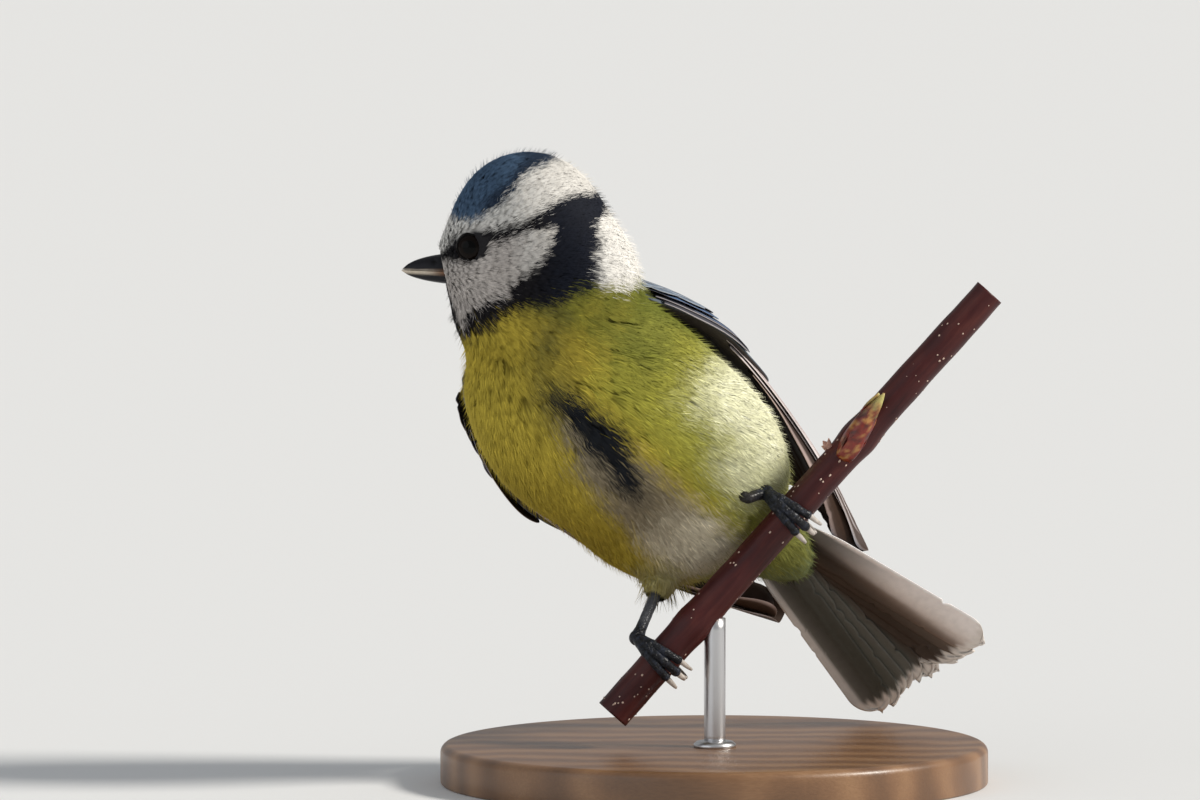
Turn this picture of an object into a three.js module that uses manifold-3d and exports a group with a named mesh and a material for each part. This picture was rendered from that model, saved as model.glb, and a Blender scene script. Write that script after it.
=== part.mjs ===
// A life-size blue tit on a cut length of twig, held by a plain display stand.
// Millimetres, +Z up, +Y away from the viewer. The origin is the centre of the base's underside.
import * as THREE from 'three';
import { mergeVertices } from 'three/addons/utils/BufferGeometryUtils.js';
import Module from 'manifold-3d';

const wasm = await Module();
wasm.setup();

const deg = Math.PI / 180;

// Driving sizes: the place and pose of the bird
const joinGap = 0.3;
const leanBack = 5 * deg;
const gripPlace = [1.7, -5, 30];
const bodyFromGrip = [-16.9, 2, 24];
const bodyRise = 45 * deg;
const bodyTurn = 25 * deg;
const bodyRoll = 13 * deg;
const headFromBody = [-13.6, -9, 29.2];
const headTurn = 3 * deg;
const headNod = 8 * deg;

// The outline out to the feather tips is a soft union of these lobes, in their own frame
const lobeBlend = 1.6;
const lobes = [
  { name: 'breast', frame: 'body', centre: [4, 0.1, 0], radii: [19.5, 17.8, 16.5], turn: 0 },
  { name: 'belly', frame: 'body', centre: [-12, 0.6, 1], radii: [18.5, 16.4, 14], turn: 0 },
  { name: 'rump', frame: 'body', centre: [-26.5, 3.2, 4], radii: [15, 6.8, 5.6], turn: -4 * deg },
  { name: 'nape', frame: 'body', centre: [19.5, 5.4, 4.8], radii: [11.5, 12.6, 12], turn: 0 },
  { name: 'chest', frame: 'body', centre: [13.5, -4.6, -2], radii: [10.5, 9, 10], turn: 0 },
  { name: 'flank', frame: 'body', centre: [-6.5, 9.2, -2.5], radii: [18.5, 9.8, 8.5], turn: -3 * deg },
  { name: 'skull', frame: 'head', centre: [-1, 0, 0.2], radii: [11.4, 10.9, 11.5], turn: 0 },
  { name: 'face', frame: 'head', centre: [6, 0, -4.5], radii: [6.2, 7.3, 5.6], turn: 0 },
  { name: 'hindneck', frame: 'head', centre: [-8.5, 0, -6.5], radii: [8.5, 9, 9], turn: 0 },
  { name: 'throat', frame: 'head', centre: [2.2, 0, -12], radii: [7.8, 7.4, 7], turn: 0 },
];
const collarDrop = 11.2;
const shoulderCut = 16.5;
const tailCut = -26;
const rumpMiddle = [3.2, 4];

// Eyes and bill, in the head's frame: forward, left, up
const eyePlace = [7.9, 5.85, -2.4];
const eyeRadius = 2.35;
const lidRadius = 2.2;
const lidThickness = 0.38;
const mouthHeight = -5.95;
const billStations = [
  { forward: 10.4, high: -3.5, low: -8.1, half: 2.2 },
  { forward: 12.7, high: -3.75, low: -7.85, half: 1.9 },
  { forward: 15, high: -4.3, low: -7.4, half: 1.25 },
  { forward: 16.7, high: -5.05, low: -6.85, half: 0.65 },
  { forward: 17.8, high: -5.95, low: -6.15, half: 0.12 },
];
const nostrilPlace = [13.2, 1.5, -4.6];
const nostrilRadius = 0.42;

// The folded wing lies on a shell: half-span and rise over the length of the body
const wingHalfSpan = [[-48, 8], [-28, 14.8], [-5, 19.2], [5, 17.8], [16, 13.6]];
const wingRise = [[-46, 2.2], [-28, 6.8], [-12, 12.6], [5, 16.2], [16, 14.6]];
const rightStandOff = 0.9;
const wingFront = 14;
const wingSway = 0.065;
const wingEdgeHeight = 2;
const wingEdgeSlope = 0.085;
const vaneThickness = 0.55;

// The tail fans from a pivot in the rump
const tailPivot = [-21.5, 4.1, 6.9];
const tailHeading = [-48.4, 3, -2];
const tailRoll = 15 * deg;
const tailLength = 47;
const tailOpening = 27 * deg;
const tailFeatherCount = 12;

// Perch, legs and stand
const perchRadius = 2.65;
const perchSlope = 48.3 * deg;
const perchBend = 48 * deg;
const perchBelow = 25.5;
const perchAbove = 30;
const perchEnd = 29;
const budRadius = 2.1;
const budFoot = [17.3, -1.7, 19.2];
const budTip = [23.2, -3.6, 28.6];
const footHalfSpacing = 14.5;
const jointReach = 4.9;
const toeRadius = 0.88;
const shankRadius = 0.82;
const stubLength = 1.2;
const baseRadius = 41;
const baseThickness = 6;
const baseChamfer = 1.2;
const rodRadius = 1.6;
const rodAlongPerch = -2.5;

function seededRandom(seed) {
  let state = seed;
  return () => {
    state = (state * 1664525 + 1013904223) % 4294967296;
    return state / 4294967296;
  };
}

// A frame of three unit axes about an origin
class Frame {
  constructor(origin, x, y, z) {
    this.origin = origin;
    this.axes = [x, y, z];
  }

  direction([x, y, z]) {
    const sum = this.axes[0].clone().multiplyScalar(x);
    return sum.addScaledVector(this.axes[1], y).addScaledVector(this.axes[2], z);
  }

  point(place) {
    return this.direction(place).add(this.origin);
  }

  local(point) {
    const offset = point.clone().sub(this.origin);
    return this.axes.map((axis) => offset.dot(axis));
  }

  matrix() {
    return new THREE.Matrix4().makeBasis(...this.axes).setPosition(this.origin);
  }
}

// The viewer's upright plane through the grip, leaning back a little
function makeSight() {
  const right = new THREE.Vector3(1, 0, 0);
  const away = new THREE.Vector3(0, Math.cos(leanBack), -Math.sin(leanBack));
  const up = new THREE.Vector3(0, Math.sin(leanBack), Math.cos(leanBack));
  return new Frame(new THREE.Vector3(...gripPlace), right, away, up);
}

// Axes of the trunk: tail to head, the bird's left, and its back
function makeBody(sight) {
  const level = new THREE.Vector3(-Math.cos(bodyRise), 0, Math.sin(bodyRise));
  const toViewer = new THREE.Vector3(0, -1, 0);
  const forward = level.multiplyScalar(Math.cos(bodyTurn)).addScaledVector(toViewer, Math.sin(bodyTurn));
  const flatLeft = new THREE.Vector3(Math.sin(bodyRise), 0, Math.cos(bodyRise));
  const flatBack = forward.clone().cross(flatLeft);
  const left = flatLeft.clone().multiplyScalar(Math.cos(bodyRoll));
  left.addScaledVector(flatBack, -Math.sin(bodyRoll));
  const back = forward.clone().cross(left);
  const axes = [forward, left, back].map((axis) => sight.direction(axis.toArray()));
  return new Frame(sight.point(bodyFromGrip), ...axes);
}

// Axes of the head: along the bill, the bird's left, and the crown
function makeHead(sight) {
  const forward = new THREE.Vector3(-Math.cos(headTurn), -Math.sin(headTurn), 0);
  const crown = new THREE.Vector3(0, -Math.sin(headNod), Math.cos(headNod));
  crown.addScaledVector(forward, -crown.dot(forward)).normalize();
  const left = crown.clone().cross(forward);
  const axes = [forward, left, crown].map((axis) => sight.direction(axis.toArray()));
  const place = bodyFromGrip.map((value, i) => value + headFromBody[i]);
  return new Frame(sight.point(place), ...axes);
}

const sight = makeSight();
const body = makeBody(sight);
const head = makeHead(sight);
const frames = { body, head };
const napeLobe = lobes.find((lobe) => lobe.name === 'nape');

// Smooth curve through a few stations of [place, size]
function profile(stations, place) {
  const last = stations.length - 1;
  if (place <= stations[0][0]) return stations[0][1];
  if (place >= stations[last][0]) return stations[last][1];
  let i = 0;
  while (stations[i + 1][0] < place) i += 1;
  const slope = (k) => {
    const a = stations[Math.max(k - 1, 0)];
    const b = stations[Math.min(k + 1, last)];
    return (b[1] - a[1]) / (b[0] - a[0]);
  };
  const span = stations[i + 1][0] - stations[i][0];
  const t = (place - stations[i][0]) / span;
  const rise = t * t * (3 - 2 * t);
  const lift = t * (1 - t) * (1 - t) * span * slope(i) - t * t * (1 - t) * span * slope(i + 1);
  return stations[i][1] * (1 - rise) + stations[i + 1][1] * rise + lift;
}

function smooth(from, to, value) {
  const t = Math.min(1, Math.max(0, (value - from) / (to - from)));
  return t * t * (3 - 2 * t);
}

function lobeDistance(lobe, point) {
  const offset = frames[lobe.frame].local(point).map((value, i) => value - lobe.centre[i]);
  const c = Math.cos(lobe.turn);
  const s = Math.sin(lobe.turn);
  const turned = [offset[0] * c + offset[1] * s, offset[1] * c - offset[0] * s, offset[2]];
  const near = Math.hypot(...turned.map((value, i) => value / lobe.radii[i]));
  const steep = Math.hypot(...turned.map((value, i) => value / lobe.radii[i] ** 2));
  return (near * (near - 1)) / (steep + 1e-9);
}

// Distance outside the feathered outline, negative inside
function outline(point) {
  const distances = lobes.map((lobe) => lobeDistance(lobe, point));
  const nearest = Math.min(...distances);
  const sum = distances.reduce((total, d) => total + Math.exp((nearest - d) / lobeBlend), 0);
  return nearest - lobeBlend * Math.log(sum);
}

// A sphere whose vertices are pushed out to the outline, or as far as longest
function wrap({ frame, centre, lift = 0, longest = 40, around, along, pole }) {
  const geometry = new THREE.SphereGeometry(1, around, along);
  const start = frame.point(centre);
  const [a, b, c] = frame.axes;
  const basis = pole === 'up' ? [a, c, b.clone().negate()] : [c, a, b];
  const turn = new THREE.Matrix4().makeBasis(...basis);
  const position = geometry.attributes.position;
  const ray = new THREE.Vector3();
  for (let i = 0; i < position.count; i += 1) {
    ray.fromBufferAttribute(position, i).normalize().applyMatrix4(turn);
    const reach = rayLength(start, ray, lift, longest);
    position.setXYZ(i, ...start.clone().addScaledVector(ray, reach).toArray());
  }
  return solid(geometry);
}

function rayLength(start, ray, lift, longest) {
  const step = 0.5;
  let inside = 0;
  while (inside < longest && outline(start.clone().addScaledVector(ray, inside + step)) < lift) {
    inside += step;
  }
  if (inside >= longest) return longest;
  let outside = inside + step;
  for (let i = 0; i < 14; i += 1) {
    const middle = (inside + outside) / 2;
    if (outline(start.clone().addScaledVector(ray, middle)) < lift) inside = middle;
    else outside = middle;
  }
  return Math.min(longest, (inside + outside) / 2);
}

// Closed triangle meshes go to the solid kernel and back
function solid(geometry) {
  const bare = new THREE.BufferGeometry();
  bare.setAttribute('position', geometry.attributes.position.clone());
  if (geometry.index) bare.setIndex(geometry.index.clone());
  const merged = mergeVertices(bare, 1e-4);
  const points = new Float32Array(merged.attributes.position.array);
  const triangles = new Uint32Array(merged.index.array);
  if (signedVolume(points, triangles) < 0) turnInsideOut(triangles);
  return new wasm.Manifold(new wasm.Mesh({ numProp: 3, vertProperties: points, triVerts: triangles }));
}

function signedVolume(points, triangles) {
  const corner = (i) => new THREE.Vector3().fromArray(points, triangles[i] * 3);
  let volume = 0;
  for (let i = 0; i < triangles.length; i += 3) {
    volume += corner(i).dot(corner(i + 1).cross(corner(i + 2))) / 6;
  }
  return volume;
}

function turnInsideOut(triangles) {
  for (let i = 0; i < triangles.length; i += 3) {
    [triangles[i], triangles[i + 1]] = [triangles[i + 1], triangles[i]];
  }
}

function union(pieces) {
  return pieces.reduce((total, piece) => total.add(piece));
}

// The largest closed surface of a solid, without loose scraps and sealed hollows
function largest(manifold) {
  const pieces = manifold.decompose();
  return pieces.reduce((best, piece) => (piece.volume() > best.volume() ? piece : best));
}

function node(name, manifold, colour, roughness, metalness = 0) {
  const result = largest(manifold).getMesh();
  const geometry = new THREE.BufferGeometry();
  geometry.setAttribute('position', new THREE.BufferAttribute(new Float32Array(result.vertProperties), 3));
  geometry.setIndex(new THREE.BufferAttribute(new Uint32Array(result.triVerts), 1));
  const material = new THREE.MeshStandardMaterial({ color: colour, roughness, metalness });
  const mesh = new THREE.Mesh(geometry, material);
  mesh.name = name;
  return mesh;
}

// A block as wide as the whole model, on the far side of a plane
function beyond(point, normal) {
  const size = 160;
  const block = new THREE.BoxGeometry(size, size, size);
  block.translate(0, 0, size / 2);
  const turn = new THREE.Quaternion().setFromUnitVectors(new THREE.Vector3(0, 0, 1), normal);
  block.applyQuaternion(turn).translate(...point.toArray());
  return solid(block);
}

// A round or oval bar along a curve; sizes are functions of 0 to 1
function bar({ points, up, width, height = width, sides = 8, rings = 8 }) {
  const curve = new THREE.CatmullRomCurve3(points, false, 'centripetal');
  const geometry = new THREE.CylinderGeometry(1, 1, 1, sides, rings);
  const position = geometry.attributes.position;
  for (let i = 0; i < position.count; i += 1) {
    const t = 0.5 - position.getY(i);
    const tangent = curve.getTangentAt(t);
    const side = up.clone().cross(tangent).normalize();
    const top = tangent.clone().cross(side);
    const place = curve.getPointAt(t);
    place.addScaledVector(side, position.getX(i) * width(t));
    place.addScaledVector(top, position.getZ(i) * height(t));
    position.setXYZ(i, ...place.toArray());
  }
  return solid(geometry);
}

// A thin plate with its two faces split into triangles alike; shape maps across, through, along
function plate(shape, columns, rows) {
  const geometry = new THREE.BoxGeometry(1, 1, 1, columns, 1, rows);
  const under = geometry.groups[3];
  const index = geometry.index;
  for (let i = under.start; i < under.start + under.count; i += 6) {
    const [a, b, d, , c] = [0, 1, 2, 3, 4].map((k) => index.getX(i + k));
    [a, b, c, a, c, d].forEach((value, k) => index.setX(i + k, value));
  }
  const position = geometry.attributes.position;
  for (let i = 0; i < position.count; i += 1) {
    const place = shape(position.getX(i), position.getY(i), position.getZ(i) + 0.5);
    position.setXYZ(i, ...place.toArray());
  }
  return solid(geometry);
}

// Width of a feather along its length, 1 at its widest
function featherWidth(t, rootWidth, tipStart) {
  const root = rootWidth + (1 - rootWidth) * smooth(0, 0.35, t);
  const tip = Math.max(0, (t - tipStart) / (1 - tipStart));
  return root * Math.max(0.16, Math.sqrt(1 - tip * tip));
}

function onWing(side, x, turn, lift) {
  const behind = wingFront - x;
  const standOff = side < 0 ? rightStandOff * smooth(-40, -10, x) : 0;
  const half = profile(wingHalfSpan, x) + lift + standOff;
  const rise = profile(wingRise, x) + lift;
  const y = wingSway * behind + side * half * Math.cos(turn);
  const z = wingEdgeHeight + wingEdgeSlope * behind + rise * Math.sin(turn);
  return body.point([x, y, z]);
}

function wingRadius(x, turn) {
  return Math.hypot(profile(wingHalfSpan, x) * Math.sin(turn), profile(wingRise, x) * Math.cos(turn));
}

// One feather of a folded wing, from a root to a tip given as [along body, turn round it]
function wingFeather(side, { root, tip, width, lift, tilt = 0.14, tipStart = 0.78, rows = 4 }) {
  return plate((across, through, along) => {
    const t = 1 - (1 - along) ** 1.4;
    const x = root[0] + (tip[0] - root[0]) * t;
    const turn = root[1] + (tip[1] - root[1]) * t;
    const offset = across * width * featherWidth(t, 0.45, tipStart);
    const thickness = vaneThickness * (1 - 0.35 * t ** 4);
    const height = lift - tilt * offset + through * thickness;
    return onWing(side, x, turn + offset / wingRadius(x, turn), height);
  }, 1, rows);
}

// Feathers of one tier, evenly from first to last, with small seeded differences
function tier(side, { count, first, last, random, ...form }) {
  const mix = (a, b, t) => a + (b - a) * t;
  return Array.from({ length: count }, (_, i) => {
    const t = count > 1 ? i / (count - 1) : 0;
    const root = [mix(first.root[0], last.root[0], t), mix(first.root[1], last.root[1], t) * deg];
    const reach = mix(first.tip[0], last.tip[0], t) + (random() - 0.5) * 0.8;
    const tip = [reach, mix(first.tip[1], last.tip[1], t) * deg];
    return wingFeather(side, { root, tip, width: mix(first.width, last.width, t), ...form });
  });
}

// Primaries, secondaries, tertials, greater and median coverts, and the alula
const wingTiers = [
  {
    count: 1, lift: 0, tipStart: 0.8,
    first: { root: [-4, 3], tip: [-41, 4], width: 3.4 },
    last: { root: [-4, 3], tip: [-41, 4], width: 3.4 },
  },
  {
    count: 1, lift: -0.35, tipStart: 0.84,
    first: { root: [-10, 4], tip: [-45.2, -2], width: 6.2 },
    last: { root: [-10, 4], tip: [-45.2, -2], width: 6.2 },
  },
  {
    count: 6, lift: 0.3, tipStart: 0.8,
    first: { root: [-3, 7], tip: [-46.5, 12], width: 4.6 },
    last: { root: [5, 26], tip: [-34, 42], width: 5.4 },
  },
  {
    count: 5, lift: 0.75, tipStart: 0.88,
    first: { root: [5, 30], tip: [-32, 46], width: 5.4 },
    last: { root: [0, 56], tip: [-27, 66], width: 5.6 },
  },
  {
    count: 3, lift: 1.25, tipStart: 0.75,
    first: { root: [-1, 60], tip: [-25, 68], width: 5.8 },
    last: { root: [-4, 72], tip: [-17, 80], width: 5.6 },
  },
  {
    count: 7, lift: 1.45, tipStart: 0.7,
    first: { root: [8, 13], tip: [-8, 14], width: 4.8 },
    last: { root: [3, 68], tip: [-10, 70], width: 5.2 },
  },
  {
    count: 6, lift: 2.05, tipStart: 0.6, rows: 3,
    first: { root: [12, 14], tip: [-1, 13], width: 4.6 },
    last: { root: [8, 64], tip: [-3, 66], width: 5 },
  },
  {
    count: 2, lift: 1.5, tipStart: 0.65, rows: 3,
    first: { root: [9, 3], tip: [-7, 3], width: 3.2 },
    last: { root: [10, 9], tip: [-5, 9], width: 3.2 },
  },
];

// The arm under the feathers, a thick shell from the wrist back
function wingArm(side) {
  return plate((across, through, along) => {
    const t = along;
    const x = 17.5 - 33 * t;
    const round = Math.sqrt(Math.max(0, 1 - (2 * t - 1) ** 4));
    const turn = (38 + across * 72 * (0.25 + 0.75 * round)) * deg;
    const edge = Math.sqrt(Math.max(0, 1 - (2 * across) ** 4));
    const thick = (0.5 + 3.6 * round * edge) * (1 - 0.5 * t);
    return onWing(side, x, turn, 1.2 - (0.5 - through) * thick);
  }, 5, 6);
}

function wing(side, seed, { inflatedTorso, inflatedNeck, inflatedHead }) {
  const random = seededRandom(seed);
  const feathers = wingTiers.flatMap((form) => tier(side, { ...form, random }));
  const whole = union([wingArm(side), ...feathers]);
  return whole.subtract(inflatedTorso).subtract(inflatedNeck).subtract(inflatedHead);
}

function makeTailFrame() {
  const along = new THREE.Vector3(...tailHeading).normalize();
  const side = new THREE.Vector3(0, Math.cos(tailRoll), -Math.sin(tailRoll));
  side.addScaledVector(along, -side.dot(along)).normalize();
  const top = side.clone().cross(along).normalize();
  const axes = [along, side, top].map((axis) => body.direction(axis.toArray()));
  return new Frame(body.point(tailPivot), ...axes);
}

// Tail feathers lie lower towards both sides, the middle pair on top
function tailFeather(tailFrame, place, length) {
  const angle = place * tailOpening / 2;
  const level = -Math.abs(place) * 1.75 - (place < 0 ? 0.09 : 0);
  const start = 6.5;
  const width = 6.2;
  return plate((across, through, along) => {
    const t = 1 - (1 - along) ** 1.5;
    const distance = start + (length - start) * t;
    const offset = across * width * featherWidth(t, 0.35, 0.86);
    const slope = -Math.sign(place) * 0.09 * offset;
    const thickness = vaneThickness * (1 - 0.3 * t ** 4);
    const x = distance * Math.cos(angle) - offset * Math.sin(angle);
    const y = distance * Math.sin(angle) + offset * Math.cos(angle);
    return tailFrame.point([x, y, level + slope * 0.3 + through * thickness]);
  }, 2, 5);
}

// The worn left edge ends a little short
function tailWear(place) {
  return place > 0 ? 0.6 - 2.2 * Math.max(0, place - 0.7) : 0.8;
}

function tail() {
  const tailFrame = makeTailFrame();
  const random = seededRandom(31);
  const forward = body.axes[0];
  const root = body.point([tailCut - joinGap, ...rumpMiddle]);
  const coverts = wrap({ frame: body, centre: [-29, 3.4, 4], around: 22, along: 14, longest: 24 });
  const pieces = [coverts.subtract(beyond(root, forward))];
  for (let i = 0; i < tailFeatherCount; i += 1) {
    const place = (2 * i + 1) / tailFeatherCount - 1;
    const length = tailLength + tailWear(place) + (random() - 0.5) * 1.4;
    pieces.push(tailFeather(tailFrame, place, length));
  }
  return union(pieces).subtract(beyond(root, forward));
}

function collarAxis() {
  return head.origin.clone().sub(body.point(napeLobe.centre)).normalize();
}

function eye(side, radius) {
  const ball = new THREE.SphereGeometry(radius, 14, 8);
  ball.rotateX(Math.PI / 2);
  ball.applyMatrix4(head.matrix());
  const [f, l, u] = eyePlace;
  const shift = head.direction([f, side * l, u]);
  return solid(ball.translate(...shift.toArray()));
}

// A lid is a thin ring round the eye, turned to face the way the eye looks
function lid(side) {
  const ring = new THREE.TorusGeometry(lidRadius, lidThickness, 5, 16);
  const look = head.direction([0.2, side, 0.05]).normalize();
  ring.applyQuaternion(new THREE.Quaternion().setFromUnitVectors(new THREE.Vector3(0, 0, 1), look));
  const [f, l, u] = eyePlace;
  const centre = head.point([f, side * l, u]).addScaledVector(look, 1.25);
  return solid(ring.translate(...centre.toArray()));
}

function bill() {
  const stations = billStations;
  const first = stations[0].forward;
  const length = stations[stations.length - 1].forward - first;
  const size = (key) => (t) => profile(stations.map((s) => [s.forward, s[key]]), first + t * length);
  const middle = (t) => (size('high')(t) + size('low')(t)) / 2;
  const points = Array.from({ length: 7 }, (_, i) => head.point([first + length * i / 6, 0, middle(i / 6)]));
  const height = (t) => (size('high')(t) - size('low')(t)) / 2;
  return bar({ points, up: head.axes[2], width: size('half'), height, sides: 16, rings: 9 });
}

function nostril(side) {
  const dent = new THREE.SphereGeometry(nostrilRadius, 8, 6);
  const [f, l, u] = nostrilPlace;
  return solid(dent.translate(...head.point([f, side * l, u]).toArray()));
}

function perchPoint(along) {
  if (along <= perchAbove) {
    return sight.point([along * Math.cos(perchSlope), 0, along * Math.sin(perchSlope)]);
  }
  const more = along - perchAbove;
  const x = perchAbove * Math.cos(perchSlope) + more * Math.cos(perchBend);
  const z = perchAbove * Math.sin(perchSlope) + more * Math.sin(perchBend);
  return sight.point([x, 0, z]);
}

function perch(extra = 0) {
  const total = perchBelow + perchAbove + perchEnd;
  const points = Array.from({ length: 8 }, (_, i) => perchPoint(total * i / 7 - perchBelow));
  const knob = (t) => 0.35 * Math.exp(-(((t * total - perchBelow - perchAbove) / 2.5) ** 2));
  const width = (t) => perchRadius * (1.03 - 0.12 * t) + knob(t) + extra;
  return bar({ points, up: sight.axes[1], width, sides: 12, rings: 18 });
}

// A pointed bud on the viewer's side of the perch
function bud() {
  const foot = sight.point(budFoot);
  const tip = sight.point(budTip);
  const outward = sight.direction([0, -1, 0]);
  const points = [0, 0.33, 0.67, 1].map((t) => foot.clone().lerp(tip, t));
  points[1].addScaledVector(outward, 0.5);
  points[2].addScaledVector(outward, 0.4);
  const width = (t) => 0.15 + budRadius * Math.sin(Math.PI * (0.14 + 0.86 * t)) ** 0.8 * (1 - 0.25 * t);
  return bar({ points, up: outward, width, sides: 10, rings: 8 }).subtract(perch(joinGap));
}

// Round the perch: along it, turned from its upper left towards the viewer, out from its axis
function roundPerch(along, turn, out) {
  const upperLeft = sight.direction([-Math.sin(perchSlope), 0, Math.cos(perchSlope)]);
  const viewer = sight.direction([0, -1, 0]);
  const place = perchPoint(along);
  place.addScaledVector(upperLeft, out * Math.cos(turn * deg));
  return place.addScaledVector(viewer, out * Math.sin(turn * deg));
}

const toes = [
  { name: 'inner', spread: -3.4, reach: 142, thick: 1 },
  { name: 'middle', spread: 0.2, reach: 158, thick: 1.05 },
  { name: 'outer', spread: 3.5, reach: 138, thick: 0.95 },
  { name: 'hind', spread: 0.4, reach: -128, thick: 1.2 },
];

function toe(hold, { spread, reach, thick }) {
  const close = perchRadius + joinGap + 0.12 + toeRadius * thick;
  const start = Math.sign(reach) * 8;
  const points = [0, 0.2, 0.4, 0.6, 0.8, 1].map((t) => {
    const out = close + (jointReach - close) * (1 - t) ** 3;
    return roundPerch(hold + spread * t ** 0.8, start + (reach - start) * t, out);
  });
  const width = (t) => toeRadius * thick * (1 - 0.22 * t);
  const axis = perchPoint(hold + 1).sub(perchPoint(hold)).normalize();
  return bar({ points, up: axis, width, sides: 7, rings: 5 });
}

function claw(hold, { spread, reach, thick }) {
  const close = perchRadius + joinGap + toeRadius * thick;
  const sign = Math.sign(reach);
  const points = [[-8, 0.1], [12, 0.35], [34, 0.3], [52, -0.1]].map(([more, out], i) => (
    roundPerch(hold + spread * (1 + 0.06 * i), reach + sign * more, close + out)
  ));
  const width = (t) => 0.5 * thick * (1 - 0.85 * t);
  const axis = perchPoint(hold + 1).sub(perchPoint(hold)).normalize();
  return bar({ points, up: axis, width, sides: 5, rings: 4 });
}

const legs = {
  right: { hold: -footHalfSpacing, knee: [-10, 5.6, 0], inside: [-7.6, 9.5, 7] },
  left: { hold: footHalfSpacing, knee: [3.3, -2.3, 14.2], inside: [-2, 4, 17.5] },
};

function footJoint(leg) {
  return roundPerch(leg.hold, 6, jointReach);
}

function foot(leg, inflatedTorso) {
  const joint = footJoint(leg);
  const knee = sight.point(leg.knee);
  const toward = knee.clone().sub(joint).normalize();
  const ball = new THREE.SphereGeometry(1.15, 10, 8).translate(...joint.toArray());
  const stub = bar({
    points: [0, stubLength / 2, stubLength].map((s) => joint.clone().addScaledVector(toward, s)),
    up: sight.axes[1], width: () => shankRadius * 1.05, sides: 8, rings: 2,
  });
  const digits = toes.flatMap((form) => [toe(leg.hold, form), claw(leg.hold, form)]);
  return union([solid(ball), stub, ...digits])
    .subtract(perch(joinGap)).subtract(inflatedTorso).subtract(shank(leg, joinGap * 0.9));
}

function shank(leg, extra = 0) {
  const joint = footJoint(leg);
  const knee = sight.point(leg.knee);
  const toward = knee.clone().sub(joint).normalize();
  const start = joint.clone().addScaledVector(toward, stubLength + joinGap - extra);
  const middle = start.clone().lerp(knee, 0.5);
  const width = () => shankRadius + extra;
  return bar({ points: [start, middle, knee], up: sight.axes[1], width, sides: 8, rings: 3 });
}

function thigh(leg, inflatedTorso) {
  const knee = sight.point(leg.knee);
  const toward = knee.clone().sub(footJoint(leg)).normalize();
  const end = knee.clone().addScaledVector(toward, joinGap);
  const points = [end, end.clone().addScaledVector(toward, 1.2), sight.point(leg.inside)];
  const width = (t) => 1.3 + 2.1 * smooth(0, 0.6, t);
  return bar({ points, up: sight.axes[1], width, sides: 12, rings: 6 }).subtract(inflatedTorso);
}

function standBase() {
  const outlinePoints = [
    [0, 0], [baseRadius, 0], [baseRadius, baseThickness - baseChamfer],
    [baseRadius - baseChamfer, baseThickness], [0, baseThickness],
  ].map(([r, z]) => new THREE.Vector2(r, z));
  return solid(new THREE.LatheGeometry(outlinePoints, 48).rotateX(Math.PI / 2));
}

function standRod() {
  const top = perchPoint(rodAlongPerch);
  const foot = baseThickness + joinGap;
  const rod = new THREE.CylinderGeometry(rodRadius, rodRadius, top.z - foot, 24);
  rod.rotateX(Math.PI / 2).translate(top.x, top.y, (top.z + foot) / 2);
  return solid(rod).subtract(perch(joinGap));
}

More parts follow.
